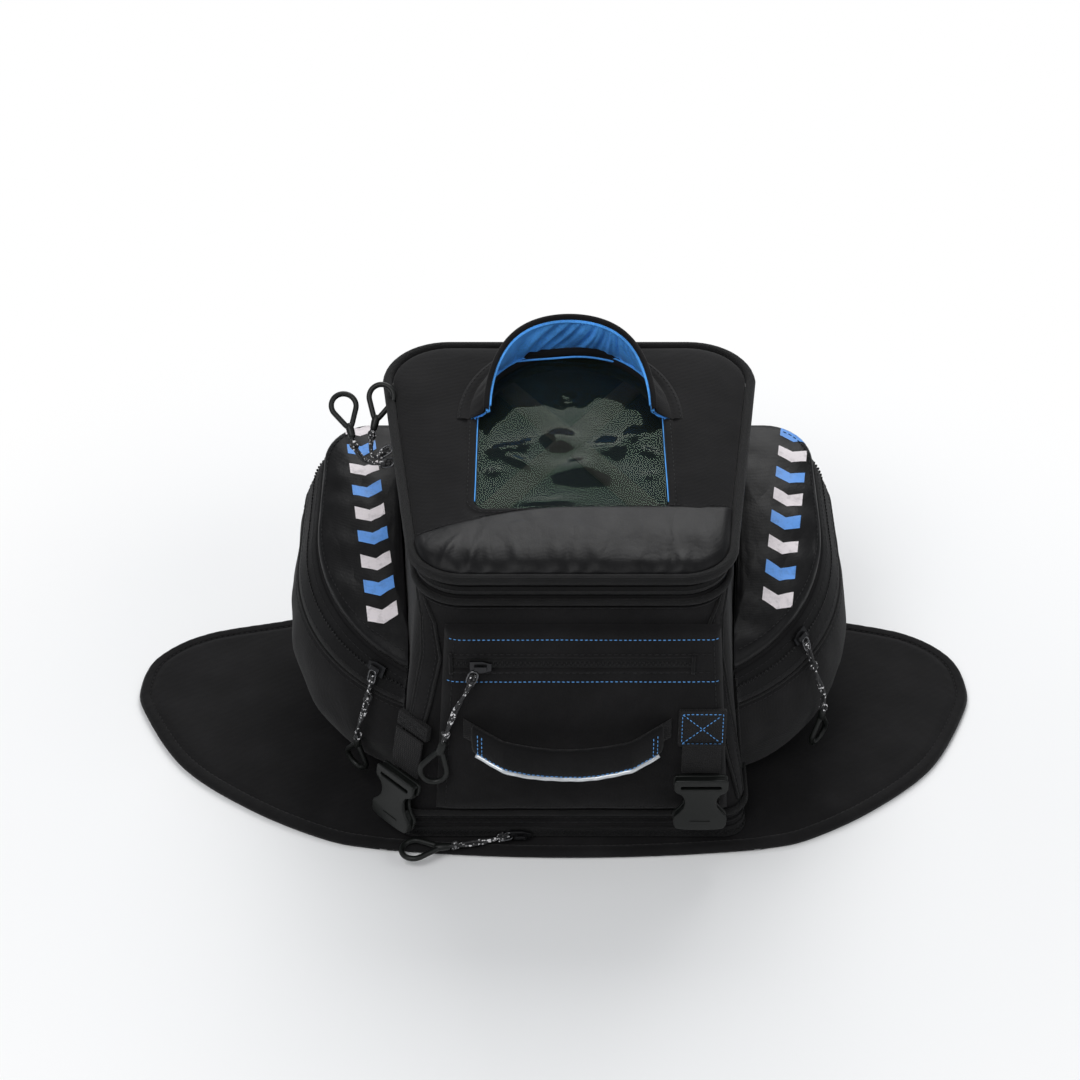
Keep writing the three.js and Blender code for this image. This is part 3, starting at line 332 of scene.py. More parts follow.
def make_looks():
    fabric_look("fabric", "fabric_black", (0.0078, 0.0074, 0.0078))
    fabric_look("fabric_fine", "fabric_black", (0.0068, 0.0066, 0.0070), pitch=0.0008, depth=0.0001, turn=0.2)
    fabric_look("lining", "lining_blue", (0.09, 0.37, 0.90), pitch=0.0009, rough=(0.45, 0.7), sheen=0.05)
    fabric_look("navy", "fabric_black", (0.006, 0.0075, 0.017), pitch=0.0008)
    satin_look("satin", "satin_black", (0.0072, 0.0070, 0.0074))
    ribbed_look("webbing", "fabric_black", (0.0095, 0.0092, 0.0095))
    ribbed_look("elastic", "fabric_black", (0.034, 0.027, 0.029), 0.0012)
    ribbed_look("tape", "fabric_black", (0.0080, 0.0078, 0.0080), 0.0009)
    ribbed_look("piping", "satin_black", (0.0078, 0.0076, 0.0078), 0.0008)
    hard_look("plastic", "plastic_black", (0.0060, 0.0070, 0.0062), (0.34, 0.5))
    hard_look("coil", "plastic_black", (0.005, 0.005, 0.0055), (0.45, 0.6))
    hard_look("metal", "slider_metal", (0.035, 0.035, 0.037), (0.28, 0.42), Metallic=0.9)
    hard_look("bright_metal", "slider_metal", (0.12, 0.12, 0.125), (0.2, 0.34), Metallic=1.0)
    hard_look("steel", "magnet_steel", (0.42, 0.43, 0.45), (0.3, 0.45), Metallic=1.0)
    hard_look("board", "board_black", (0.02, 0.02, 0.022), (0.5, 0.7), 300, 0.0001)
    hard_look("grip_sheet", "grip_sheet", (0.022, 0.022, 0.023), (0.8, 0.95), 420, 0.0005)
    hard_look("silver", "reflective_piping", (0.66, 0.68, 0.70), (0.26, 0.36), 1500, 0.00004, Metallic=0.55)
    hard_look("thread_black", "fabric_black", (0.009, 0.009, 0.0095), (0.5, 0.7), 2000, 0.0001)
    hard_look("thread_blue", "lining_blue", (0.12, 0.36, 0.78), (0.45, 0.6), 2000, 0.0001)
    print_look("print_white", "reflective_piping", (0.80, 0.74, 0.76))
    print_look("print_blue", "reflective_piping", (0.11, 0.33, 0.82))
    cord_look("cord", "cord_flecked")
    film_look("film", "clear_film")


# ================= Making pieces =================

def dress(piece, look, body, stands_for):
    """Gives a piece its material and body, and hides the CAD node that it stands for."""
    material, slot = LOOKS[look]
    piece.data.materials.append(material)
    if body:
        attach(piece, body)
    if stands_for:
        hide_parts(stands_for)
    return piece


def recolour(node_name, look):
    """Gives a CAD node that stays in view a look."""
    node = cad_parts[node_name]
    node.data.materials.clear()
    node.data.materials.append(LOOKS[look][0])
    return node


def add_piece(name, data, look, body, stands_for, merge=2e-6):
    """A smooth piece from a mesh, its doubled points joined and its faces turned outwards."""
    work = bmesh.new()
    work.from_mesh(data)
    bmesh.ops.remove_doubles(work, verts=work.verts, dist=merge)
    bmesh.ops.dissolve_degenerate(work, edges=work.edges, dist=1e-6)
    bmesh.ops.recalc_face_normals(work, faces=work.faces)
    work.to_mesh(data)
    work.free()
    data.shade_smooth()
    piece = bpy.data.objects.new(name, data)
    bpy.context.scene.collection.objects.link(piece)
    return dress(piece, look, body, stands_for)


def add_mesh(name, points, faces, look, body, stands_for=None):
    """A piece from points in millimetres."""
    data = bpy.data.meshes.new(name)
    data.from_pydata((np.asarray(points).reshape(-1, 3) * MM).tolist(), [], faces)
    return add_piece(name, data, look, body, stands_for)


def grid_faces(rows, columns, wrap_rows=False, wrap_columns=False, start=0):
    faces = []
    for i in range(rows if wrap_rows else rows - 1):
        for j in range(columns if wrap_columns else columns - 1):
            a, b = start + i * columns, start + ((i + 1) % rows) * columns
            k = (j + 1) % columns
            faces.append((a + j, a + k, b + k, b + j))
    return faces


def add_grid(name, grid, look, body, stands_for=None, wrap_rows=False, wrap_columns=False):
    """A piece from a grid of points."""
    grid = np.asarray(grid, float)
    faces = grid_faces(*grid.shape[:2], wrap_rows, wrap_columns)
    return add_mesh(name, grid, faces, look, body, stands_for)


def add_band(name, grid, look, body, stands_for=None):
    """A piece that closes on itself both ways, like a cord round the bag."""
    return add_grid(name, grid, look, body, stands_for, True, True)


def add_solid(name, rings, look, body, stands_for=None):
    """A piece from closed rings, with a fan over the first and the last."""
    rings = np.asarray(rings, float)
    rows, columns = rings.shape[:2]
    points = np.vstack([rings.reshape(-1, 3), rings[0].mean(0), rings[-1].mean(0)])
    faces = grid_faces(rows, columns, False, True)
    for row, centre in ((0, rows * columns), (rows - 1, rows * columns + 1)):
        faces += [(row * columns + j, row * columns + (j + 1) % columns, centre) for j in range(columns)]
    return add_mesh(name, points, faces, look, body, stands_for)


def add_many(name, shapes, look, body, stands_for=None):
    """One piece from several grids of closed rings, each with a face over either end."""
    points, faces = [], []
    count = 0
    for grid in shapes:
        rows, columns = grid.shape[:2]
        points.append(grid.reshape(-1, 3))
        faces += grid_faces(rows, columns, False, True, count)
        for row in (0, rows - 1):
            faces.append(list(range(count + row * columns, count + (row + 1) * columns)))
        count += rows * columns
    return add_mesh(name, np.vstack(points), faces, look, body, stands_for)


def tube_grid(path, radius, sides=12, closed=False, flat=1.0, up=None):
    """Rings round a path. radius may change along it; flat squeezes the ring across up."""
    path = np.asarray(path, float)
    if closed:
        along = unit(np.roll(path, -1, 0) - np.roll(path, 1, 0))
    else:
        along = unit(np.gradient(path, axis=0))
    if up is None:
        side = [unit(np.cross(along[0], [0.31, 0.17, 0.94]))]
        for t in along[1:]:
            side.append(unit(side[-1] - t * np.dot(side[-1], t)))
        side = np.array(side)
    else:
        side = unit(np.cross(along, np.broadcast_to(up, along.shape)))
    other = np.cross(along, side)
    angles = circle(sides)[None, :, None]
    ring = np.cos(angles) * side[:, None] + flat * np.sin(angles) * other[:, None]
    return path[:, None] + ring * np.broadcast_to(radius, len(path))[:, None, None]


def add_tube(name, path, radius, look, body, stands_for=None, **shape):
    return add_solid(name, tube_grid(path, radius, **shape), look, body, stands_for)


STITCH_RINGS = ((0, 0.25), (0.18, 0.85), (0.5, 1.0), (0.82, 0.85), (1, 0.25))  # share of its length, size
STITCH_SECTION = ((-1, -0.4), (-1, 0.3), (0, 0.75), (1, 0.3), (1, -0.4))  # across, up


def stitch_rings(path, normals, length=3.2, space=1.5, width=0.6, height=0.4, closed=False):
    """Short raised threads along a path that lies on a surface."""
    both = np.hstack([path, np.broadcast_to(normals, np.shape(path))])
    if closed:
        both = np.vstack([both, both[:1]])
    distances = walked(both[:, :3])

    def at(distance):
        row = np.array([np.interp(distance, distances, column) for column in both.T])
        return row[:3], unit(row[3:])

    shapes = []
    for k in range(max(1, int(distances[-1] / (length + space)))):
        stitch = []
        for share, size in STITCH_RINGS:
            middle = k * (length + space) + space / 2 + share * length
            centre, normal = at(middle)
            ahead, behind = at(middle + 0.3)[0], at(middle - 0.3)[0]
            across = unit(np.cross(ahead - behind + 1e-6, normal)) * width / 2 * size
            low = centre + normal * (height * (size - 0.5) * 0.4)
            stitch.append([low + across * out + normal * height * up for out, up in STITCH_SECTION])
        shapes.append(np.array(stitch))
    return shapes


def add_stitches(name, lines, body, look="thread_black", **sizes):
    """lines is a list of (path, normals)."""
    shapes = [shape for path, normals in lines for shape in stitch_rings(path, normals, **sizes)]
    return add_many(name, shapes, look, body)


TOOTH_RINGS = ((-0.2, 0.5), (0.1, 1.0), (0.75, 1.0), (1.0, 0.45))  # reach across, size


def add_coil(name, path, normals, pitch, half_width, height, closed=False):
    """The teeth of a coil zip: short bars across the path, left and right by turns."""
    points = resample(path, step=pitch, closed=closed)
    along = unit(np.gradient(points, axis=0))
    shares, source = np.linspace(0, 1, len(points)), np.linspace(0, 1, len(path))
    normals = np.broadcast_to(normals, np.shape(path))
    normals = unit(np.stack([np.interp(shares, source, column) for column in normals.T], 1))
    angles = circle(6)[:, None]
    shapes = []
    for i, (p, t, n) in enumerate(zip(points, along, normals)):
        across = unit(np.cross(t, n)) * (1 if i % 2 else -1)
        rings = []
        for reach, size in TOOTH_RINGS:
            centre = p + across * half_width * reach + n * height * 0.35
            ring = t * pitch * 0.4 * np.cos(angles) + n * height * 0.5 * np.sin(angles)
            rings.append(centre + ring * size)
        shapes.append(np.array(rings))
    return add_many(name, shapes, "coil", "bag")


def add_plate(name, outlines, low, high, bevel, place, look, body, stands_for=None):
    """A bevelled plate between two heights, from closed outlines in a plane; later outlines are holes.
    place is a 4x4 matrix in millimetres."""
    curve = bpy.data.curves.new(name, "CURVE")
    curve.dimensions = "2D"
    curve.fill_mode = "BOTH"
    curve.extrude = (high - low) / 2 - bevel
    curve.bevel_depth = bevel
    curve.bevel_resolution = 2
    curve.offset = -bevel
    for outline in outlines:
        line = curve.splines.new("POLY")
        line.points.add(len(outline) - 1)
        line.use_cyclic_u = True
        for point, (x, y) in zip(line.points, outline):
            point.co = (x, y, 0, 1)
    maker = bpy.data.objects.new(name + "_curve", curve)
    bpy.context.scene.collection.objects.link(maker)
    bpy.context.view_layer.update()
    data = bpy.data.meshes.new_from_object(maker.evaluated_get(bpy.context.evaluated_depsgraph_get()))
    bpy.data.objects.remove(maker)
    data.materials.clear()
    data.transform(Matrix.Scale(MM, 4) @ place @ Matrix.Translation((0, 0, (low + high) / 2)))
    piece = add_piece(name, data, look, body, stands_for, 1e-6)
    data.set_sharp_from_angle(angle=math.radians(50))
    return piece


def axes(at, x, z):
    """A 4x4 matrix at a point, x along x and z as near z as it can be."""
    x = unit(x)
    y = unit(np.cross(z, x))
    matrix = np.eye(4)
    matrix[:3] = np.column_stack([x, y, np.cross(x, y), at])
    return Matrix(matrix.tolist())


def rounded(width, height, radius, x=0.0, y=0.0, steps=5):
    """Outline of a rounded rectangle round (x, y)."""
    points = []
    for cx, cy, start in ((1, -1, -90), (1, 1, 0), (-1, 1, 90), (-1, -1, 180)):
        for k in range(steps + 1):
            a = math.radians(start + 90 * k / steps)
            points.append((x + cx * (width / 2 - radius) + radius * math.cos(a),
                           y + cy * (height / 2 - radius) + radius * math.sin(a)))
    return points


# ================= Shapes of the bag =================

def rim_height(y):
    return RIM_NEAR + (y - NEAR_TOP[1]) * RIM_SLOPE


def plan_ends(share):
    """Half width, y and corner radius of the bag's near and far ends, at a share of its height."""
    return mix(NEAR_BOTTOM, NEAR_TOP, share), mix(FAR_BOTTOM, FAR_TOP, share)


def bag_plan(share, grow=0.0):
    """The bag's outline at a share of its height, grown outwards: corners and straight sides by turns."""
    near, far = plan_ends(share)
    corners = []
    for (half, y, radius), across, along, start in ((near, -1, 1, 180), (near, 1, 1, 270),
                                                    (far, 1, -1, 0), (far, -1, -1, 90)):
        a = np.radians(np.linspace(start, start + 90, 13))
        corners.append(np.stack([across * (half - radius) + (radius + grow) * np.cos(a),
                                 y + along * radius + (radius + grow) * np.sin(a)], 1))
    points = []
    for k, count in enumerate((40, 48, 40, 48)):
        a, b = corners[k][-1], corners[(k + 1) % 4][0]
        points += [corners[k], mix(a, b, (np.arange(1, count + 1) / (count + 1))[:, None])]
    return np.vstack(points)


def bag_ring(share, grow=0.0, lift=0.0):
    plan = bag_plan(share, grow)
    return level(plan, mix(BAG_BOTTOM, rim_height(plan[:, 1]), share) + lift)


def sideways(ring, middle=BAG_MIDDLE):
    """Level directions from the middle to a ring's points."""
    return unit(level(ring[:, :2] - middle, 0.0))


def plan_half(y, share, grow=0.0):
    """Half width of the bag's outline at y, its rounded corners included."""
    near, far = plan_ends(share)
    near_end, far_end = near[1] + near[2], far[1] - far[2]
    if near_end <= y <= far_end:
        return mix(near[0], far[0], (y - near_end) / (far_end - near_end)) + grow
    half, _, radius = near if y < near_end else far
    past = max(near_end - y, y - far_end)
    return half - radius + math.sqrt(max(0.0, (radius + grow) ** 2 - past**2))


def outside_bag(point, grow):
    """A point moved sideways, where it needs to be, so that it lies outside the bag's wall."""
    x, y, z = point
    share = min(1.0, (z - BAG_BOTTOM) / (rim_height(y) - BAG_BOTTOM))
    half = plan_half(y, share, grow)
    return np.array([math.copysign(max(abs(x), half), x), y, z])


def bag_band(name, section, share, look, node=None):
    """A closed band round the bag's wall: section is a list of (distance out, height)."""
    rings = [bag_ring(share + up / (RIM_NEAR - BAG_BOTTOM), out) for out, up in section]
    return add_band(name, rings, look, "bag", node)


def round_section(radius, sides, out, height=0.0):
    return [(out + radius * math.cos(a), height + radius * math.sin(a)) for a in circle(sides)]


def on_lid(points):
    """From the lid's own axes to the bag's, with the far end of the lid pushed up by what is under it."""
    p = np.array(points, float)
    c, s = math.cos(LID_TILT), math.sin(LID_TILT)
    p[..., 2] += LID_PUFF * smooth_step((p[..., 1] + 70) / 230) * np.clip(p[..., 2] / LID_TOP, 0, 1.2)
    return np.stack([p[..., 0], p[..., 1] * c - p[..., 2] * s,
                     rim_height(0) + p[..., 1] * s + p[..., 2] * c], -1)


def lid_plan(grow=0.0):
    plan = bag_plan(1, grow)
    plan[:, 1] /= math.cos(LID_TILT)
    return plan


def lid_top(xy):
    """Height of the lid's crowned top over points of its plan."""
    across = np.minimum(1, np.abs(xy[..., 0]) / FAR_TOP[0])
    along = np.minimum(1, np.abs(xy[..., 1] - (LID_NEAR + LID_FAR) / 2) / ((LID_FAR - LID_NEAR) / 2))
    return LID_TOP + LID_CROWN * (1 - across**2) * (1 - along**2)


def lid_band(name, section, look, node):
    """A closed band round the lid: section is a list of (distance out, height)."""
    return add_band(name, on_lid([level(lid_plan(out), up) for out, up in section]), look, "lid", node)


def on_front(x, out, up):
    """A point on the front wall: across, out from the wall and up along it."""
    x, out, up = np.broadcast_arrays(*(np.asarray(v, float) for v in (x, out, up)))
    c, s = math.cos(FRONT_LEAN), math.sin(FRONT_LEAN)
    return np.stack([x, NEAR_BOTTOM[1] - out * c + up * s, BAG_BOTTOM + out * s + up * c], -1)


def flap_plane(y):
    return FLAP_NEAR + (y - FLAP_NEAR_Y) * (FLAP_FAR - FLAP_NEAR) / (FLAP_FAR_Y - FLAP_NEAR_Y)


def pocket_outline(sizes, inset=0.0):
    """A side pocket's outline at one level, from the rider's end to the far corner."""
    out, y, radius, far_y = sizes
    reach = min(0.97, (radius - (out - POCKET_INSIDE - 6)) / radius)
    a = np.linspace(-math.acos(reach), 0, 36)
    round_end = np.stack([out - radius + (radius - inset) * np.cos(a), y + (radius - inset) * np.sin(a)], 1)
    side_end = np.array([out - inset, far_y - POCKET_CORNER])
    straight = mix(round_end[-1], side_end, (np.arange(1, 13) / 12)[:, None])
    a = np.linspace(0, math.pi / 2, 11)[1:]
    r = POCKET_CORNER - inset
    corner = np.stack([out - POCKET_CORNER + r * np.cos(a), side_end[1] + r * np.sin(a)], 1)
    back = mix(corner[-1], [POCKET_INSIDE + 12, corner[-1][1]], (np.arange(1, 9) / 8)[:, None])
    return np.vstack([round_end, straight, corner, back])


def pocket_ring(side, share, inset=0.0):
    low, middle, top = (pocket_outline(sizes, inset) for sizes in POCKET_LEVELS)
    plan = low * (1 - share) ** 2 + 2 * middle * share * (1 - share) + top * share**2
    high = flap_plane(plan[:, 1]) - FLAP_THICKNESS - GAP
    return level(plan * [side, 1], mix(POCKET_BOTTOM, high, share))


# ================= Pull cords =================
# Each route runs in metres from the slider to the moulded loop, through the CAD model's points; the two
# on the lid are bunched up, and shorter than the CAD model's. After it comes the way that the loop's flat
# side faces.

PULLS = {
    "lid_zip_far": ([(-0.1364, 0.0461, 0.2279), (-0.1445, 0.0440, 0.2230), (-0.1500, 0.0500, 0.2210),
                     (-0.1505, 0.0610, 0.2290), (-0.1480, 0.0680, 0.2370)], (0, -0.53, 0.85)),
    "lid_zip_near": ([(-0.1337, 0.0281, 0.2277), (-0.1430, 0.0310, 0.2245), (-0.1550, 0.0410, 0.2215),
                      (-0.1625, 0.0520, 0.2255), (-0.1660, 0.0610, 0.2340)], (0.1, -0.53, 0.85)),
    "front_zip": ([(-0.0690, -0.1347, 0.1577), (-0.0730, -0.1360, 0.1466), (-0.0820, -0.1373, 0.1276),
                   (-0.0890, -0.1398, 0.1088), (-0.0930, -0.1416, 0.0959)], (0, -0.991, 0.136)),
    "left_pocket_zip": ([(-0.1449, -0.0889, 0.1194), (-0.1513, -0.0971, 0.0933), (-0.1558, -0.0971, 0.0803),
                         (-0.1581, -0.0956, 0.0676), (-0.1589, -0.0933, 0.0581)], (-0.645, -0.754, -0.128)),
    "right_pocket_zip": ([(0.1742, -0.0598, 0.1265), (0.1846, -0.0681, 0.0984), (0.1894, -0.0678, 0.0846),
                          (0.1912, -0.0667, 0.0709), (0.1910, -0.0651, 0.0607)], (0.767, -0.631, -0.117)),
    "base_zip": ([(-0.0453, -0.1462, 0.0125), (-0.0550, -0.1486, 0.0119), (-0.0690, -0.1521, 0.0116),
                  (-0.0830, -0.1545, 0.0112), (-0.0940, -0.1555, 0.0108)], (0, 0, -1)),
}
CORD_POINTS, CORD_DIAMETER = 34, 4.4  # two strands side by side
STRAND_TURN = 68.0  # length in which the strands turn once round each other
BRAID_RATE = 2.6  # radians of the braid's bumps per millimetre
KNOT_SHARES = (0.16, 0.8)  # of the cord's length
LOOP_LENGTH, LOOP_WIDTH, LOOP_STOCK = 32.0, 23.0, 4.2
FERRULE = ((-5.5, 1.9), (-5, 2.5), (-3, 2.85), (0, 3.1), (3, 3.1), (5.5, 2.7), (6.5, 1.6))  # along, radius
TAB_LENGTH, TAB_WIDTH, TAB_CORNER, TAB_STOCK = 10.5, 6.6, 3.2, 1.5
TAB_AHEAD, POCKET_TAB_AHEAD = 2.6, 1.4  # from the start of the cord to the middle of its tab


def strand_pair(path, facing):
    """Two strands that turn slowly round each other."""
    along = unit(np.gradient(path, axis=0))
    side = unit(np.cross(along, facing))
    other = np.cross(along, side)
    distance = walked(path)
    turn = distance[:, None] / STRAND_TURN * 2 * math.pi
    radius = CORD_DIAMETER / 4
    offset = (side * np.cos(turn) + other * np.sin(turn)) * radius
    braid = radius * (1 + 0.05 * np.sin(distance * BRAID_RATE))
    return [tube_grid(path + sign * offset, braid, 10) for sign in (1, -1)]


def knot_grid(centre, along, normal, size=2.5, strand=1.15):
    """An overhand knot drawn tight, as one closed strand."""
    side = unit(np.cross(along, normal))
    other = np.cross(along, side)
    t = circle(64)[:, None]
    path = centre + (np.sin(t) + 2 * np.sin(2 * t)) / 3 * size * side
    path = path + (np.cos(t) - 2 * np.cos(2 * t)) / 3 * size * other - np.sin(3 * t) * size * 0.75 * along
    return tube_grid(path, strand, 10, closed=True)


def loop_outline():
    """A teardrop in the loop's own plane, its neck at the origin."""
    half, middle = (LOOP_WIDTH - LOOP_STOCK) / 2, LOOP_LENGTH - LOOP_WIDTH / 2
    a = np.radians(np.linspace(-118, 118, 40))
    ring = np.stack([middle + half * np.cos(a), half * np.sin(a)], 1)
    return np.vstack([ring, [[5.2, 2.6], [3.4, 1.3], [3.4, -1.3], [5.2, -2.6]]])


def add_wire(name, outline, count, start, along, side, radius, sides, look, body, node=None):
    """A closed wire bent to an outline in the plane of two directions."""
    flat = resample(outline, count=count, closed=True)[:-1]
    path = start + flat[:, :1] * along + flat[:, 1:] * side
    return add_band(name, tube_grid(path, radius, sides, closed=True), look, body, node)


def build_pull(zip_name, route, facing):
    body = f"{zip_name}_pull"
    points = np.array(route) / MM
    path = spline(points, CORD_POINTS)
    facing = unit(facing)
    cord = add_many(f"{zip_name}_cord", strand_pair(path, facing), "cord", body, f"{zip_name}_pull_cord")
    along = unit(points[-1] - points[-2])
    side = unit(np.cross(facing, along))
    normal = np.cross(along, side)
    loop = add_wire(f"{zip_name}_loop", loop_outline(), 72, points[-1] + along * GAP, along, side,
                    LOOP_STOCK / 2, 14, "plastic", body, f"{zip_name}_pull_loop")
    throat = add_tube(f"{zip_name}_ferrule", [points[-1] + along * distance for distance, _ in FERRULE],
                      [radius for _, radius in FERRULE], "plastic", body, sides=16, flat=0.9, up=normal)
    for k, share in enumerate(KNOT_SHARES):
        i = int(share * (len(path) - 1))
        knot = knot_grid(path[i], unit(path[i + 1] - path[i - 1]), normal)
        add_band(f"{zip_name}_knot_{k + 1}", knot, "cord", body)
    head = unit(points[1] - points[0])
    middle = points[0] + head * (POCKET_TAB_AHEAD if "pocket" in zip_name else TAB_AHEAD)
    tab = add_wire(f"{zip_name}_tab", rounded(TAB_LENGTH, TAB_WIDTH, TAB_CORNER), 48, middle, head,
                   unit(np.cross(facing, head)), TAB_STOCK / 2, 8, "bright_metal", body)


def build_pulls():
    for zip_name, (route, facing) in PULLS.items():
        build_pull(zip_name, route, facing)
        edge = recolour(f"{zip_name}_slider", "metal").modifiers.new("edges", "BEVEL")
        edge.width = 0.0004
        edge.segments = 2


# ================= Base leaf, wings, magnets =================

# Rows of the leaf's cloth, in from its edge
LEAF_ROWS = np.array([0, 0.5, 1.2, 2.2, 3.6, 5.2, 6.8, 7.8, 8.4, 8.6, 9.4, 10.5, 12, 14, 16])
WING_OUTLINE = [(0, -ROOT_NEAR), (0.2, -ROOT_NEAR + 10), (0.49, -ROOT_NEAR + 42), (0.77, -ROOT_NEAR + 89),
                (0.96, -ROOT_NEAR + 152), (1, -ROOT_NEAR + 185), (0.96, ROOT_FAR - 84), (0.79, ROOT_FAR - 54),
                (0.47, ROOT_FAR - 35), (0.2, ROOT_FAR - 17), (0, ROOT_FAR)]  # share of the wing's reach, y
WING_STRETCH = {-1: 0.05, 1: -0.065}  # by side: one wing lies a little longer, the other shorter
MIDDLE_BOW_NEAR, MIDDLE_BOW_FAR = 16.0, 20.0
BINDING_TOP, DITCH_TOP, PADDING = 5.9, 4.9, 1.7
SPINE_SHARE, SPINE_Y, SPINE_RISE = 0.72, 12.0, 30.0  # the line in a wing that its rows of cloth close in on


def middle_edge(x):
    """The near and far edge of the leaf's middle at x."""
    t = (x + WING_ROOT) / (2 * WING_ROOT)
    bow = 2 * t * (1 - t)
    return -ROOT_NEAR - bow * MIDDLE_BOW_NEAR, ROOT_FAR + bow * MIDDLE_BOW_FAR


def leaf_edge(side):
    """One wing's outline, from the middle's near edge round the tip to its far edge."""
    wing = np.array(WING_OUTLINE)
    wing[:, 0] = WING_ROOT + GAP + wing[:, 0] * (HALF_SPAN - WING_ROOT)
    inner = np.linspace(LEAF_CUT, WING_ROOT, 8)
    near = np.array([[x, middle_edge(x)[0]] for x in inner])
    far = np.array([[x, middle_edge(x)[1]] for x in inner[::-1]])
    points = resample(np.vstack([near, spline(wing, 260)[1:-1], far]), count=220)
    points[0, 0] = points[-1, 0] = LEAF_CUT
    points[:, 0] += np.maximum(0, points[:, 0] - WING_ROOT) * WING_STRETCH[side]
    return points * [side, 1]


def leaf_inward(edge, side):
    return unit(np.gradient(edge, axis=0))[:, ::-1] * [-side, side]


def leaf_top(xy, distance):
    """The leaf's top: a rolled binding, a stitched ditch, then padding with a soft waviness."""
    roll = 0.75 * np.sin(np.clip(distance / BINDING_WIDTH, 0, 1) * math.pi)
    bead = BINDING_TOP - 2.6 * np.clip(1 - distance / 2.6, 0, 1) ** 2 + roll
    padding = DITCH_TOP + PADDING * smooth_step((distance - BINDING_WIDTH) / 7)
    soft = smooth_step((distance - 10) / 25)
    waves = swell(level(xy, 0.0), 90, 5) * 0.7 * smooth_step((np.abs(xy[:, 0]) - 150) / 60)
    pucker = np.sin(xy[:, 0] * 0.55) * np.sin(xy[:, 1] * 0.5) * 0.16
    return np.where(distance < BINDING_WIDTH, bead, padding) + soft * waves + (1 - soft) * pucker


def wing_grid(side):
    edge = leaf_edge(side)
    normal = leaf_inward(edge, side)
    for k in range(8):  # the cut ends square with the middle leaf's
        normal[k] = unit(mix(normal[k], [0, 1], 1 - k / 8))
        normal[-1 - k] = unit(mix(normal[-1 - k], [0, -1], 1 - k / 8))
    inner = edge + normal * LEAF_ROWS[-1]
    reach = (np.abs(inner[:, 0]) - LEAF_CUT) * SPINE_SHARE
    spine = np.column_stack([side * (LEAF_CUT + reach), SPINE_Y + SPINE_RISE * smooth_step(reach / 150)])
    rows = [level(spine, LEAF_BOTTOM)]
    for inset, up in ((14, 0), (1.4, 0), (0.2, 0.9)):
        rows.append(level(edge + normal * inset, LEAF_BOTTOM + up))
    for inset in LEAF_ROWS:
        xy = edge + normal * inset
        rows.append(level(xy, leaf_top(xy, inset)))
    for t in np.arange(1, 15) / 14:
        xy = mix(inner, spine, t)
        rows.append(level(xy, leaf_top(xy, LEAF_ROWS[-1] + 60 * t)))
    return rows


def middle_grid():
    """The middle of the leaf as columns from its near edge to its far one and back underneath."""
    columns = []
    for x in np.linspace(-LEAF_CUT, LEAF_CUT, 90):
        near, far = middle_edge(x)
        inner = np.linspace(near + LEAF_ROWS[-1], far - LEAF_ROWS[-1], 40)[1:-1]
        ys = np.concatenate([near + LEAF_ROWS, inner, far - LEAF_ROWS[::-1]])
        top = leaf_top(np.column_stack([np.full(len(ys), x), ys]), np.minimum(ys - near, far - ys))
        under = LEAF_BOTTOM + np.array([0.9, 0, 0, 0.9])
        ys = np.r_[ys, far - 0.2, far - 1.4, near + 1.4, near + 0.2]
        columns.append(np.column_stack([np.full(len(ys), x), ys, np.r_[top, under]]))
    return columns


def slab_rings(outline, centre, steps):
    """Rings of a thin sheet: steps of (scale, height) from the middle of its underside to its top's."""
    return [level(centre + (outline - centre) * scale, z) for scale, z in steps]


def sheet_under(name, outline, body, node):
    """A thin rubber sheet under the leaf."""
    steps = ((0.02, 0.0), (0.5, 0.0), (0.985, 0.0), (0.99, 0.25), (0.99, 0.95), (0.985, 1.2), (0.5, 1.2),
             (0.02, 1.2))
    add_solid(name, slab_rings(outline, outline.mean(0), steps), "grip_sheet", body, node)


def build_leaf():
    add_grid("base_leaf", middle_grid(), "fabric", "bag", "base_panel", wrap_columns=True)
    xs = np.linspace(GAP - WING_ROOT, WING_ROOT - GAP, 40)
    outline = [(x, middle_edge(x)[0]) for x in xs] + [(x, middle_edge(x)[1]) for x in xs[::-1]]
    sheet_under("base_grip", np.array(outline), "bag", "base_grip_sheet")
    for side, label in SIDES:
        build_wing(side, label)
    xs = np.linspace(4 - WING_ROOT, WING_ROOT - 4, 90)
    near = [(x, middle_edge(x)[0] + BINDING_WIDTH + GAP, SEAM_HEIGHT) for x in xs]
    far = [(x, middle_edge(x)[1] - BINDING_WIDTH - GAP, SEAM_HEIGHT) for x in xs]
    add_stitches("base_binding_stitches", [(near, UP), (far, UP)], "bag", width=0.7, height=0.5)


def build_wing(side, label):
    body = f"{label}_wing_body"
    wing = add_grid(f"{label}_leaf", wing_grid(side), "fabric", None, f"{label}_wing")
    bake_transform(wing)
    edge = leaf_edge(side)
    edge = edge[np.abs(edge[:, 0]) > WING_ROOT + 1.5]
    sheet_under(f"{label}_wing_grip", edge, body, f"{label}_wing_grip_sheet")
    seam = level(edge + leaf_inward(edge, side) * (BINDING_WIDTH + GAP), SEAM_HEIGHT)[4:-4]
    add_stitches(f"{label}_binding_stitches", [(seam, UP)], body, width=0.7, height=0.5)
    for k in (1, 2):
        recolour(f"{label}_wing_magnet_{k}", "steel")


# ================= Main bag =================

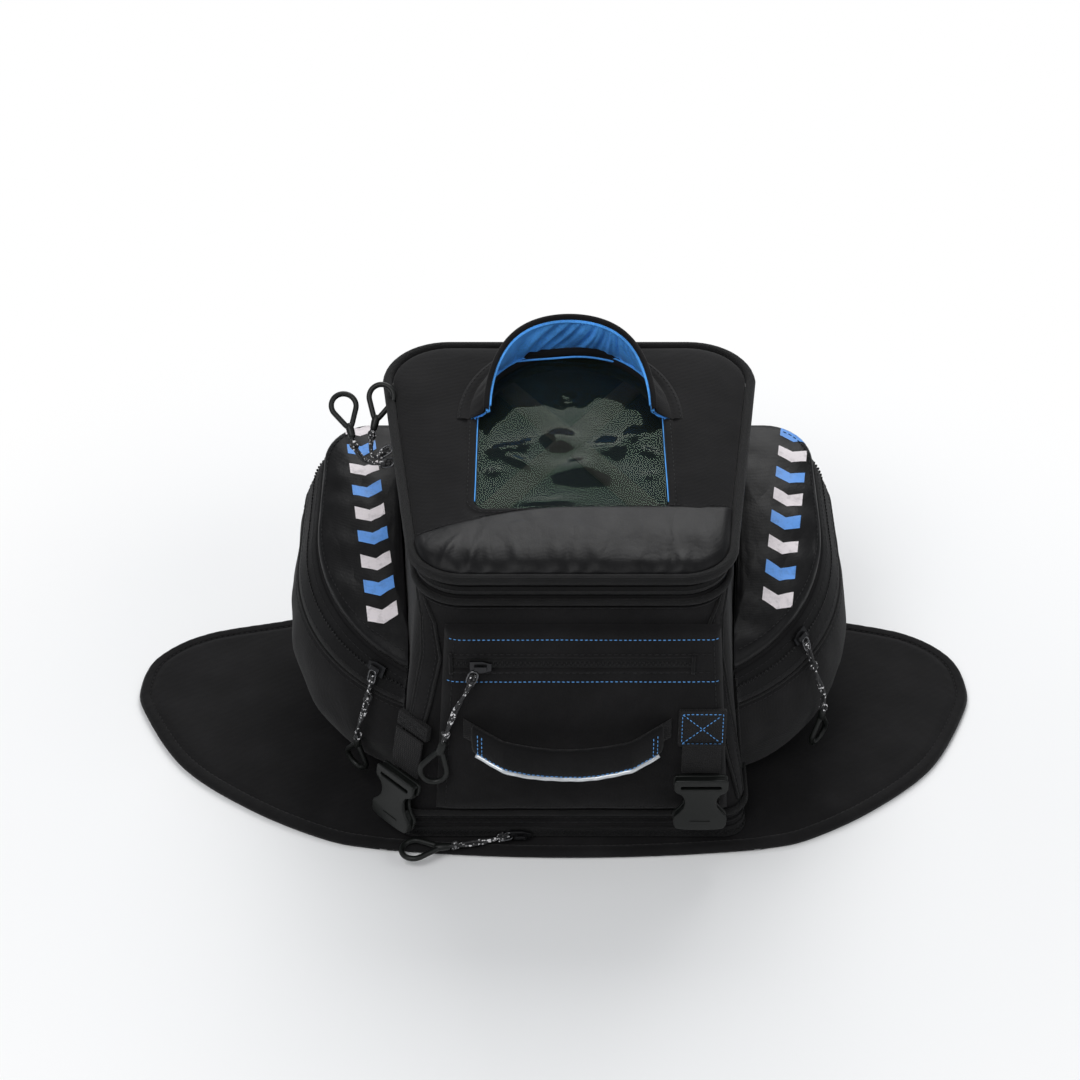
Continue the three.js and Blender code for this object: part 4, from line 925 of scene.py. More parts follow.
def build_shell():
    foot = [mix(bag_ring(0, 0, 0.05), np.array([0, 0, BAG_BOTTOM + 0.05]), t) for t in (0.98, 0.5, 0.02)]
    outer = []
    for share in np.linspace(0, 1, 44):
        ring = bag_ring(share)
        belly = math.sin(math.pi * min(1, share / 0.98)) ** 0.7
        depth = (0.75 + 0.75 * swell(ring, 46, 3)) * belly
        outer.append(ring - sideways(ring) * depth[:, None])
    rim = [bag_ring(1, -0.8, -0.1), bag_ring(1, -2, 0.1), bag_ring(1, -3.2, 0.0)]
    inner = [bag_ring(share, -SHELL_WALL) for share in np.linspace(1, 0.02, 20)]
    inner = [ring - sideways(ring) * (0.4 + 0.4 * swell(ring, 60, 8))[:, None] for ring in inner]
    middle = np.array([0, 0, BAG_BOTTOM + 3.0])
    floor = [mix(bag_ring(0, -SHELL_WALL, 3.0), middle, t) for t in (0, 0.5, 0.98)]
    add_solid("bag_shell", foot + outer + rim + inner + floor, "fabric", "bag", "main_shell")
    recolour("floor_board", "board")


def build_welts():
    """The piping low round the bag and round its rim, and the sewn tucks beside it."""
    welt = round_section(WELT_RADIUS, 14, GAP + WELT_RADIUS)
    bag_band("base_welt", welt, BASE_PIPING_SHARE, "piping", "base_piping")
    bag_band("rim_welt", welt, RIM_PIPING_SHARE, "piping", "rim_piping")
    for name, share, out in (("base_tuck", BASE_PIPING_SHARE - 0.024, 0.5),
                             ("rim_tuck", RIM_PIPING_SHARE - 0.028, 0.4),
                             ("base_tuck_low", BASE_PIPING_SHARE - 0.045, 0.4)):
        bag_band(name, round_section(0.9, 8, out), share, "fabric_fine")


def build_base_zip():
    tape = [(0.3, -4.2), (0.3, 4.2), (1.0, 4.2), (1.2, 3.4), (1.2, -3.4), (1.0, -4.2)]
    bag_band("base_zip_band", tape, BASE_TAPE_SHARE, "tape", "base_zip_tape")
    line = bag_ring(BASE_TAPE_SHARE, 1.2)
    add_coil("base_zip_coil", line, sideways(line), 1.7, 1.9, 0.9, closed=True)


def corner_point(side, share, angle, grow):
    """A point on a near corner of the bag; angle runs from 180 at the side to 270 at the front."""
    half, y, radius = plan_ends(share)[0]
    a = math.radians(angle)
    x = radius - half + (radius + grow) * math.cos(a)
    y += radius + (radius + grow) * math.sin(a)
    return np.array([-side * x, y, mix(BAG_BOTTOM, rim_height(y), share)])


def build_corner_bands():
    """The gusset band that runs down each near corner between the pocket and the front, with its seams."""
    shares = np.linspace(0.14, 0.965, 40)
    middle = np.interp(shares, [0.14, 0.33, 0.55, 0.75, 0.88, 0.965], [203, 220, 234, 240, 228, 206])
    spread = np.interp(shares, [0.14, 0.4, 0.75, 0.965], [14, 16, 15, 9])
    section = ((-1, 0.1), (-0.9, 1.0), (-0.6, 1.25), (0, 1.5), (0.6, 1.25), (0.9, 1.0), (1, 0.1))
    for side, label in SIDES:

        def line(offset, out):
            places = zip(shares, middle + offset * spread)
            return np.array([corner_point(side, share, angle, out) for share, angle in places])

        add_grid(f"{label}_corner_band", [line(offset, out) for offset, out in section], "fabric", "bag")
        for k, offset in enumerate((-1.0, 1.0)):
            add_tube(f"{label}_corner_welt_{k + 1}", line(offset, 0.7), 1.25, "piping", "bag", sides=10)
        for k, offset in enumerate((-0.62, 0.62)):
            seam = line(offset, 1.45)
            add_stitches(f"{label}_corner_stitches_{k + 1}", [(seam, unit(seam - line(offset, -8)))], "bag")


# ================= Lid =================

def window_half(y, shrink=0.0):
    """Half the window's width at y: rounded near corners, straight sides and an arch under the hood."""
    radius = max(1.0, WINDOW_CORNER - shrink)
    arch = np.clip((y - HOOD_FEET) / (WINDOW_FAR - HOOD_FEET - shrink), 0, 1)
    rounding = radius * (1 - quarter(y - WINDOW_NEAR - shrink, radius))
    return (WINDOW_HALF - shrink) * np.sqrt(1 - arch**2) - rounding


def window_outline(directions, shrink=0.0):
    """Where rays from the window's centre meet its outline, by halving."""
    low, high = np.zeros(len(directions)), np.full(len(directions), 150.0)
    for _ in range(30):
        middle = (low + high) / 2
        p = WINDOW_CENTRE + directions * middle[:, None]
        within = (np.abs(p[:, 0]) < window_half(p[:, 1], shrink)) & (p[:, 1] > WINDOW_NEAR + shrink)
        within &= p[:, 1] < WINDOW_FAR - shrink
        low, high = np.where(within, middle, low), np.where(within, high, middle)
    return WINDOW_CENTRE + directions * low[:, None]


def lid_height(xy, edge):
    """The lid's padded top: it rolls down to the piping, which is a distance edge away."""
    roll = 4.2 * (1 - quarter(edge, 13))
    waves = 0.55 * swell(level(xy, 0.0), 55, 12) * smooth_step(edge / 20)
    return lid_top(xy) - roll + 1.6 * smooth_step(edge / 30) + waves


def build_lid():
    """The panel: from its edge in to the window's hem, down there and out again along its underside."""
    plan = lid_plan()
    away = unit(plan - WINDOW_CENTRE)
    window = window_outline(away)
    reach = np.linalg.norm(plan - window, axis=1)
    rows = []
    for inset in (0, 0.6, 1.6, 3, 5, 8, 12, 17):
        xy = plan - away * np.minimum(inset, reach * 0.5)[:, None]
        rows.append(level(xy, lid_height(xy, inset)))
    start, hem = rows[-1][:, :2], window + away * 7.0
    for t in np.linspace(0, 1, 14)[1:]:
        xy = mix(start, hem, t)
        height = lid_height(xy, np.linalg.norm(xy - plan, axis=1))
        rows.append(level(xy, height - 1.4 * smooth_step((t - 0.8) / 0.2)))
    for out, up in ((6.4, 0.35), (5.4, 0.75), (2.5, 0.85), (0.8, 0.6), (0.1, -0.1), (0.0, -1.6), (0.2, -6.0)):
        rows.append(level(window + away * out, lid_top(window) + up))
    for out, up in ((0.4, 0.4), (2.0, 0)):
        rows.append(level(window + away * out, LID_BOTTOM + up))
    for t, up in ((0.5, 0), (0.97, 0), (1.0, 0.8)):
        rows.append(level(mix(window, plan, t), LID_BOTTOM + up))
    add_band("lid_top", on_lid(rows), "fabric", "lid", "lid_panel")
    seam = window_outline(away, -4.6)
    seam = level(seam, lid_top(seam) + 0.8)
    add_stitches("window_stitches", [(on_lid(seam), LID_NORMAL)], "lid", closed=True)


def build_window_edging():
    """Thin blue edging down both sides of the window."""
    ys = np.linspace(WINDOW_NEAR + 9, HOOD_FEET + 6, 60)
    for side, label in SIDES:
        xy = np.column_stack([np.full(len(ys), side * (WINDOW_HALF - 0.9)), ys])
        z = lid_top(xy) - 0.5 - 0.8 * np.sin(ys * 0.045 + side) ** 2
        add_tube(f"window_edging_{label}", on_lid(level(xy, z)), 0.45, "lining", "lid", sides=8)


def build_lid_edge():
    """The fat piping round the lid with its seam, the gusset and the zip tape."""
    piping = round_section(3.9, 18, 4.0, (LID_BOTTOM + LID_TOP) / 2 + 0.6)
    lid_band("lid_cord_edge", piping, "piping", "lid_piping")
    seam = level(lid_plan(-1.1), LID_TOP - 2.9)
    add_stitches("lid_edge_stitches", [(on_lid(seam), LID_NORMAL)], "lid", closed=True, height=0.45)
    belt = [(-3, 0.6), (-0.6, 0.5), (0.1, 1.2), (0.3, 3), (0.1, 6), (0.3, 9), (0.1, 12.9), (-0.6, 13.5),
            (-3, 13.3)]
    lid_band("lid_gusset_band", belt, "fabric", "lid_gusset")
    tape = [(0.4, 2.6), (0.9, 2.3), (1.5, 2.8), (1.6, 5.4), (2.1, 5.7), (2.1, 6.3), (1.6, 6.6), (1.5, 9.2),
            (0.9, 9.7), (0.4, 9.4)]
    lid_band("lid_zip_band", tape, "tape", "lid_zip_tape")


# Where the clear film bulges: x, y, two half sizes, turn, height
FILM_DENTS = [(-50, 16, 12, 5.0, 20, 2.6), (-40, 4, 10, 4.2, -35, 2.2), (-57, -8, 7, 4.0, 10, 2.0),
              (-34, 20, 7, 4.0, 60, 2.0), (-20, -41, 26, 4.0, 3, 1.9), (60, 14, 8, 4.0, -25, 2.2),
              (58, -12, 7, 3.8, 30, 1.9), (8, -8, 24, 13, 0, 4.6), (24, 14, 15, 12, 25, 4.4),
              (-8, 24, 14, 12, -20, 4.2), (44, 30, 10, 6, 70, 2.0)]


def build_film():
    ys = np.linspace(WINDOW_NEAR + 0.7, WINDOW_FAR - 0.7, 110)
    y, u = np.meshgrid(ys, np.linspace(-1, 1, 90), indexing="ij")
    x = u * np.maximum(0.5, window_half(y, 0.6))
    v = (y - WINDOW_CENTRE[1]) / (WINDOW_FAR - WINDOW_CENTRE[1])
    flat = np.stack([x, y, 0 * x], -1)
    waves = 0.9 * swell(flat, 62, 21) + 0.35 * swell(flat * [1, 0.5, 1], 20, 22) + 0.5
    for at, along, long, wide, turn, height in FILM_DENTS:
        c, s = math.cos(math.radians(turn)), math.sin(math.radians(turn))
        p, q = (x - at) * c + (y - along) * s, (y - along) * c - (x - at) * s
        waves += height * hump(p, 0, long) * hump(q, 0, wide)
    grid = level(flat, lid_top(flat) - 1.4 + (1 - u**6) * (1 - v**6) * waves)
    film = add_grid("window_vinyl", on_lid(grid), "film", "lid", "window_film")
    thick = film.modifiers.new("thickness", "SOLIDIFY")
    thick.thickness = 0.0004
    thick.offset = -1


def build_map_sleeve():
    sleeve = rounded(2 * WINDOW_HALF + 12, WINDOW_FAR - WINDOW_NEAR + 12, 12, 0, WINDOW_CENTRE[1], 8)
    outline = resample(sleeve, count=161, closed=True)[:-1]
    steps = ((0.02, 11.1), (0.6, 11.0), (0.99, 11.0), (1.0, 11.4), (1.0, 12.1), (0.99, 12.4), (0.6, 12.4),
             (0.3, 12.3), (0.02, 12.2))
    rings = slab_rings(outline, WINDOW_CENTRE, steps)
    add_solid("map_sleeve_back", on_lid(rings), "navy", "lid", "map_sleeve")


def build_map_elastic():
    """Two flat elastics, crossed under the window."""
    reach = np.array([WINDOW_HALF - 12, (WINDOW_FAR - WINDOW_NEAR) / 2 - 12])
    section = ((-9.5, 12.9), (-9.5, 13.6), (-5, 13.75), (0, 13.8), (5, 13.75), (9.5, 13.6), (9.5, 12.9))
    t = np.linspace(0, 1, 60)
    shapes = []
    for lean in (1, -1):
        along = 2 * reach * [1, lean]
        line = WINDOW_CENTRE + along * (t[:, None] - 0.5)
        side = unit([-along[1], along[0]])
        lift = 0.15 * lean + 0.25 * np.sin(t * math.pi) + 0.25 * (lean > 0)
        rows = np.array([level(line + side * across, up + lift) for across, up in section])
        shapes.append(on_lid(rows.transpose(1, 0, 2)))
    add_many("map_elastic", shapes, "elastic", "lid", "map_elastic_cross")


def pad_edges(u):
    """Near and far edge of the front pad; u runs from -1 to 1 across the lid."""
    half, corner = NEAR_TOP[0] - PAD_INSET, NEAR_TOP[2] - PAD_INSET
    x = u * half * 0.985
    past = np.maximum(0.0, np.abs(x) - (half - corner)) / corner
    near = LID_NEAR + PAD_INSET + corner * (1 - np.sqrt(np.maximum(0.0, 1 - past**2)))
    far = mix(PAD_FAR, PAD_SIDE, np.maximum(0.0, -u) ** 1.8) + 2 * np.maximum(0.0, u)
    return x, near, far


# The pad's long creases: x, its direction as two shares, width, height
PAD_CREASES = ((-84, 0.9, -0.45, 2.6, 1.3), (-66, 0.95, -0.3, 3.0, 1.1), (-40, 1, 0.1, 3.4, 0.8),
               (12, 1, 0.25, 4, 0.6), (70, 0.95, 0.3, 3.2, 0.9))


def build_front_pad():
    """The gathered satin pad: softly puffed, with puckers in from its seams and a few long creases."""
    u, v = np.meshgrid(np.linspace(-1, 1, 190), np.linspace(0, 1, 70), indexing="ij")
    x, near, far = pad_edges(u)
    y = mix(near, far, v)
    flat = np.stack([x + u * PAD_SLANT * (y - near), y, 0 * y], -1)
    body = (1 - u**14) * np.sin(math.pi * v**0.75) ** 0.8
    near_puckers = 1.3 * np.sin(x * 0.34 + 1.6 * np.sin(x * 0.09)) * np.exp(-v * 4.5)
    far_puckers = 0.4 * np.sin(x * 0.22 + 2.2 * np.sin(x * 0.05 + 1)) * np.exp(-(1 - v) * 7)
    creases = 0.8 * swell(flat * [0.5, 1.2, 1], 55, 31) + 0.25 * swell(flat * [1, 0.5, 1], 24, 33)
    for at, across, along, width, height in PAD_CREASES:
        reach = np.clip(1.3 - v * 1.5, 0, 1)
        creases += height * reach * hump((x - at) * across + (y + 96) * along, 0, width)
    height = 0.7 + 3.6 * body + body * (near_puckers + far_puckers + creases)
    roll = 2.2 * np.clip(1 - (y - near) / 10, 0, 1) ** 2 + 2.4 * np.clip((np.abs(x) - 102) / 8, 0, 1) ** 2
    base = lid_top(flat) + 0.6 - roll
    rings = np.concatenate([level(flat, base + np.maximum(height, 0.5)), level(flat, base - 0.5)[:, ::-1]], 1)
    add_solid("front_pad", on_lid(rings), "satin", "lid", "lid_front_pad")
    u = np.linspace(-0.985, 0.985, 120)
    x, near, far = pad_edges(u)
    seam = np.column_stack([x + PAD_SLANT * u * (far - near), far + 1.6])
    add_stitches("front_pad_stitches", [(on_lid(level(seam, lid_top(seam) + 1.3)), LID_NORMAL)], "lid")


# ================= Sun hood =================

HOOD_ANGLES = np.linspace(0.0, math.pi, 260)


def hood_row(out, share, extra=0.0):
    """A row of the hood's points: out from its inner face, at a share of its height from seam to rim."""
    across, along = -np.cos(HOOD_ANGLES), np.sin(HOOD_ANGLES)
    bend = 1 - (1 - share) ** 1.5
    lean_in = HOOD_LEAN * (1 - along**3) * bend
    back = mix(HOOD_BACK, HOOD_RIM_BACK, bend)
    xy = np.stack([across * (HOOD_HALF - lean_in + out), HOOD_FEET + along * (back - HOOD_FEET + out)], 1)
    rise = HOOD_FOOT_RISE + (HOOD_RISE - HOOD_FOOT_RISE) * along**0.8
    return level(xy, lid_top(xy) + 0.9 + rise * share + extra)


def hood_skin(out, drape, top, slant=0.0):
    """The hood's cloth from seam to rim, with gathers as deep as drape that lean with slant."""
    rows = []
    for share in np.linspace(0, 1, 22) * top:
        fade = math.sin(math.pi * min(1, share * 0.9 + 0.08))
        at = HOOD_ANGLES + slant * share * np.sin(HOOD_ANGLES * 2.6 + 0.8)
        gathers = np.sin(at * 31 + 2.2 * np.sin(at * 5)) * 0.7 + np.sin(at * 53 + 3 * np.sin(at * 3)) * 0.4
        rows.append(hood_row(out + drape * gathers * fade, share))
    return rows


def build_hood():
    flange = [hood_row(10.5, 0, -0.2), hood_row(10.5, 0, 0.8), hood_row(4.4, 0, 0.9)]
    rim = [hood_row(out, 1, up) for out, up in ((2.6, 1.2), (1.8, 2.2), (0.4, 2.4), (-1.0, 1.7), (-1.6, 0.4),
                                                (-1.5, -1.6), (-0.7, -2.6))]
    rows = flange + hood_skin(2.4, 0.35, 1.0) + rim + hood_skin(0.9, 0.2, 0.93)[::-1]
    add_grid("hood_outside", on_lid(rows), "fabric", "lid", "sun_hood", wrap_rows=True)
    rows = [hood_row(-3.8, 0, -0.3), hood_row(-2.8, 0.03)]
    rows += hood_skin(-2.2, 1.8, 0.965, 0.42) + hood_skin(0.35, 0.5, 0.965)[::-1]
    lining = add_grid("hood_lining_cloth", on_lid(rows), "lining", "lid", "sun_hood_lining", wrap_rows=True)
    add_stitches("hood_flange_stitches", [(on_lid(hood_row(8.6, 0, 0.95)), LID_NORMAL)], "lid")
    add_tube("hood_rim_binding", on_lid(hood_row(-2.6, 0.93)[4:-4]), 0.85, "lining", "lid", sides=8)
    x = np.linspace(-52, 52, 60)
    for name, y, up, radius, look in (("roll", 134.5, 3.0, 3.0, "fabric_fine"),
                                      ("edging", 129.5, 1.6, 0.8, "lining")):
        bar = np.column_stack([x, y - 12 * (x / 52) ** 2, LID_TOP + up + 0.5 * np.sin(x * 0.11)])
        add_tube(f"hood_foot_{name}", on_lid(bar), radius, look, "lid")


# ================= Front pocket, handle, straps =================

def front_sides(up):
    """The left and right edge of the front pocket at a height."""
    t = (up - FRONT_LOW) / (FRONT_HIGH - FRONT_LOW)
    return mix(*FRONT_LEFT, t), mix(*FRONT_RIGHT, t)


def front_depth(x, up):
    """How far the pocket's cloth stands out: rounded edges, soft hollows, folds and the zip's trough."""
    x, up = np.broadcast_arrays(x, up)
    left, right = front_sides(up)
    depth = quarter(x - left, 13) * quarter(right - x, 8)
    depth *= quarter(up - FRONT_LOW, 16) * quarter(FRONT_HIGH - up, 5)
    flat = np.stack([x, up, 0 * x], -1)
    hollow = 1.2 * swell(flat, 70, 41) + 0.4 * swell(flat * [1, 2.2, 1], 26, 42)
    hollow *= smooth_step((110 - up) / 60) * 0.4 + 0.25
    welt = hump(np.abs(up - FRONT_ZIP_UP), 5.6, 1.5) * (np.abs(x) < FRONT_ZIP_HALF + 2)
    trough = 2.4 * hump(up, FRONT_ZIP_UP, 4.2, 4) * (np.abs(x) < FRONT_ZIP_HALF)
    folds = sum(deep * hump(up, at, wide) for at, wide, deep in FRONT_FOLDS)
    return (FRONT_FACE - 0.9 + hollow) * depth + welt - trough - folds


def front_line(x, up, lift):
    """A seam on the front pocket's cloth, with its normals."""
    return on_front(x, front_depth(x, up) + lift, up), FRONT_NORMAL


def front_seam(up, inset, count, lift):
    """A level seam across the front pocket, inset by so much at its left and 1 mm less at its right."""
    left, right = front_sides(up)
    return front_line(np.linspace(left + inset, right - inset + 1, count), up, lift)


def build_front_pocket():
    ups = np.concatenate([np.linspace(FRONT_LOW, FRONT_HIGH, 90), FRONT_ZIP_UP + np.linspace(-9, 9, 25)])
    ups = np.unique(ups)[:, None]
    x = mix(*front_sides(ups), np.linspace(0, 1, 120))
    cloth = on_front(x, np.maximum(front_depth(x, ups), -0.1), ups)
    edges = [on_front(np.linspace(*front_sides(up), 120), -0.4, up) for up in (FRONT_LOW, FRONT_HIGH)]
    add_grid("front_pocket_cloth", [edges[0], *cloth, edges[1]], "fabric", "bag", "front_pocket")


def build_front_zip():
    x = np.linspace(-FRONT_ZIP_HALF, FRONT_ZIP_HALF, 60)
    section = ((-4.6, 6.4), (-4.6, 7.6), (-1.2, 8.0), (1.2, 8.0), (4.6, 7.6), (4.6, 6.4))
    tape = [on_front(x, out, FRONT_ZIP_UP + up) for up, out in section]
    add_grid("front_zip_band", tape, "tape", "bag", "front_zip_tape")
    add_coil("front_zip_coil", on_front(x, FRONT_ZIP_OUT, FRONT_ZIP_UP), FRONT_NORMAL, 1.6, 1.8, 0.8)
    for k, x in enumerate((-FRONT_ZIP_HALF - 1, FRONT_ZIP_HALF + 1)):
        end = on_front(x, FRONT_ZIP_OUT + 0.9, FRONT_ZIP_UP + np.linspace(-8, 8, 8))
        add_tube(f"front_zip_end_{k + 1}", end, 1.3, "fabric_fine", "bag", sides=8)


def build_front_seams():
    blue = [front_seam(up, 3, 140, 0.25) for up in FRONT_BLUE_SEAMS]
    add_stitches("front_blue_stitches", blue, "bag", "thread_blue", length=2.1, space=1.3, height=0.45)
    dark = [front_seam(up, 6, 120, 0.15) for up in FRONT_DARK_SEAMS]
    ups = np.linspace(FRONT_LOW + 8, FRONT_HIGH - 4, 120)
    left, right = front_sides(ups)
    dark += [front_line(left + 7.0, ups, 0.15), front_line(right - 6.0, ups, 0.15)]
    add_stitches("front_dark_stitches", dark, "bag")


def handle_point(u, extra=0.0):
    """The handle's middle line, as (across, out, up); u runs from -1 to 1."""
    bow = 1 - u * u
    reach = FRONT_FACE + GAP + extra + HANDLE_REACH * np.clip(bow * 1.6, 0, 1) ** 1.5
    return u * HANDLE_HALF + HANDLE_SHIFT, reach, HANDLE_UP - HANDLE_SAG * bow


def grip_point(u, angle, lift, end=1.0):
    """Points of the padded grip's skin: the angle turns from out to up, and end below 1 shrinks it."""
    across, out, up = handle_point(u, 2.6 + GRIP_THICKNESS / 2)
    size = (1 - 0.02 * (np.abs(u) * HANDLE_HALF / GRIP_HALF) ** 4) * (0.7 + 0.3 * end)
    size = size * (1 + 0.012 * np.sin(across * 0.5 + 2 * np.sin(angle * 2)) + 0.02 * np.sin(across * 0.13))
    flat = np.abs(np.cos(angle)) ** 0.75 * np.sign(np.cos(angle))
    tall = np.abs(np.sin(angle)) ** 0.8 * np.sign(np.sin(angle))
    return on_front(across, out + (GRIP_THICKNESS / 2 * size + lift) * flat,
                    up + (GRIP_WIDTH / 2 * size + lift) * tall)


def build_handle():
    across, out, up = handle_point(np.linspace(-1, 1, 90), 1.0)
    section = ((-0.7, -7.5), (0.7, -7.7), (0.9, -4), (0.9, 4), (0.7, 7.7), (-0.7, 7.5))
    rows = np.stack([on_front(across, out + thick, up + wide) for thick, wide in section], 1)
    add_many("handle_strap", [rows], "webbing", "handle", "handle_webbing")
    along = np.linspace(-GRIP_HALF, GRIP_HALF, 130)[:, None]
    rings = grip_point(along / HANDLE_HALF, circle(40), 0.0, quarter(GRIP_HALF - np.abs(along), 2.5))
    add_solid("handle_padding", rings, "fabric_fine", "handle", "handle_grip")
    us = np.linspace(-GRIP_HALF + 3, GRIP_HALF - 3, 80) / HANDLE_HALF
    welt = grip_point(us, math.radians(-72), 0.9)
    add_tube("handle_reflective_welt", welt, 1.75, "silver", "handle", "handle_reflector", sides=14)
    lines = [(grip_point(us, math.radians(-47), 0.15), unit(FRONT_NORMAL + [0, 0, -0.5]))]
    turn = np.radians(np.linspace(-44, 62, 26))
    lines += [(grip_point(u, turn, 0.15), FRONT_NORMAL) for u in (-0.86, -0.82, 0.82, 0.86)]
    add_stitches("handle_blue_stitches", lines, "handle", "thread_blue", length=2.0, space=1.3, height=0.5)


def right_strap_place():
    return axes(on_front(RIGHT_STRAP_X, 0.0, STRAP_UP), (1, 0, 0), FRONT_NORMAL)


def left_strap_place():
    """On the bag's near left corner, whose edge leans back and out."""
    diagonal = np.array([-1, -1]) / math.sqrt(2)
    foot, head = (np.array([radius - half, y + radius]) + diagonal * radius for half, y, radius in
                  (NEAR_BOTTOM, NEAR_TOP))
    rise = RIM_NEAR - BAG_BOTTOM
    lean = math.atan2(np.linalg.norm(head - foot), rise)
    normal = [*(diagonal * math.cos(lean)), math.sin(lean)]
    at = [*mix(foot, head, STRAP_UP / rise), BAG_BOTTOM + STRAP_UP]
    return axes(at, (-diagonal[1], diagonal[0], 0), normal) @ Matrix.Translation((1.5, 0, 0))


def build_strap(label, place, seat, buckle_seat, wide, tall, top, drop, thread):
    """A sewn patch with its box of stitches, and below it the strap with the buckle's socket. Each seat is
    a distance out from the wall; the strap hangs by drop from top."""
    body = f"{label}_strap_body"
    face = seat + GAP + WEBBING_THICKNESS
    add_plate(f"{label}_patch", [rounded(wide, tall, 1.2, 0, tall / 2)], seat - 2.4, face, 0.6, place,
              "webbing", "bag", f"{label}_strap_patch")
    add_plate(f"{label}_webbing", [rounded(STRAP_WIDTH, drop, 1.2, 0, top - drop / 2)], face + GAP,
              face + GAP + WEBBING_THICKNESS, 0.6, place, "webbing", body, f"{label}_strap")
    low, high, half = 2.5, tall - 2.5, wide / 2 - 2.5
    box = [(-half, low), (half, low), (half, high), (-half, high), (-half, low)]
    lines = []
    for line in (box, [(-half, low), (half, high)], [(-half, high), (half, low)]):
        dense = level(resample(line, step=2.0), face + 0.1)
        lines.append(([place @ Vector(point) for point in dense], np.array(place.to_3x3().col[2])))
    add_stitches(f"{label}_patch_stitches", lines, "bag", thread, length=2.0, space=1.2, height=0.45)
    build_buckle(label, place @ Matrix.Translation((0, top - 0.4 - drop, buckle_seat)), body)


def build_buckle(label, place, body):
    """The socket half of a side-release buckle, with the strap's bar above and its open sides below."""
    half, length = BUCKLE_HALF, BUCKLE_LENGTH
    right = [(half - 2.5, 0), (half - 0.6, -0.8), (half, -2.4), (half, -8)]
    right += [(half * share, y) for share, y in (
        (0.93, -10.4), (0.7, -13), (0.6, -16.5), (0.58, -20), (0.63, -24), (0.8, -28.5), (0.97, -31.5),
        (1, -34), (0.97, -39), (0.88, -42), (0.6, -length), (0.2, -length - 0.4))]
    outline = right + [(-x, y) for x, y in right[::-1]]
    rail = ((0.62, -26), (0.86, -31), (0.93, -length + 2), (0.62, -length + 1.5), (0.58, -33))
    walls = [[(side * half * share, y) for share, y in rail] for side, _ in SIDES]
    walls += [rounded(37, 3.0, 1.3, 0, -2.2), rounded(36, 3.0, 1.3, 0, -10.6)]
    parts = [("face", [outline, rounded(29, 2.4, 1.0, 0, -6.6)], 5.6, 9.0, 0.9),
             ("back", [outline], 0.1, 2.7, 0.6)]
    parts += [(f"wall_{k + 1}", [wall], 2.0, 6.8, 0.4) for k, wall in enumerate(walls)]
    parts.append(("ridge", [rounded(15, 1.6, 0.7, 0, -36)], 8.4, 9.6, 0.3))
    for part, outlines, low, high, bevel in parts:
        add_plate(f"{label}_buckle_{part}", outlines, low, high, bevel, place, "plastic", body,
                  f"{label}_buckle" if part == "face" else None)


def build_straps():
    build_strap("right", right_strap_place(), seat=FRONT_FACE, buckle_seat=FRONT_FACE + GAP + 4.2,
                wide=34, tall=30, top=3, drop=24.5, thread="thread_blue")
    welt = GAP + 2 * WELT_RADIUS
    build_strap("left", left_strap_place(), seat=welt / 3, buckle_seat=welt + 1.5 * GAP + 0.6,
                wide=31, tall=12, top=-0.5, drop=32, thread="thread_black")


# ================= Side pockets =================

def onto_bag(ring):
    """A ring of pocket cloth kept outside the bag's wall, its two ends sunk into the wall like a seam."""
    last = len(ring) - 1
    return np.array([outside_bag(p, 0.25 if 2 < k < last - 3 else -2.5) for k, p in enumerate(ring)])


def pocket_skin(side, shares, inset=0.0, ripple=1.0):
    rows = []
    for share in shares:
        ring = pocket_ring(side, share, inset)
        bulge = swell(ring * [1, 1, 1.6], 64, 51 if side < 0 else 52) * 1.5
        bulge += swell(ring * [1, 1, 0.45], 30, 53) * 0.7
        calm = math.sin(math.pi * share / 0.8) if share < 0.8 else 0.0
        rows.append(onto_bag(ring + sideways(ring, (side * 90, 30)) * (bulge * calm * ripple - 0.5)[:, None]))
    return rows


def build_pocket(side, label):
    """The pocket's cloth: its underside, its wall, the edge at the top, and its lining down to the floor."""

    def ring(share, inset, up=0.0):
        return onto_bag(pocket_ring(side, share, inset) + [0, 0, up])

    rows = [ring(0.0, inset, up) for inset, up in ((40, 0.0), (9, 0.0), (5, 0.6), (2.4, 2.2))]
    rows += pocket_skin(side, np.linspace(0.03, 1, 46))
    rows += [ring(1.0, inset, 0.2) for inset in (1.0, 2.2)]
    rows += pocket_skin(side, np.linspace(1, 0.06, 16), 3.0, 0.0)
    rows += [ring(0.04, inset) for inset in (10, 40)]
    add_grid(f"{label}_pocket_cloth", rows, "fabric", "bag", f"{label}_pocket")


def pocket_path(side, share, out, first=1, last=-9):
    """A line round a pocket's wall at one height, out from it."""
    ring = pocket_ring(side, share, -out)[first:last]
    return np.array([outside_bag(p, 0.6 + out) for p in ring])


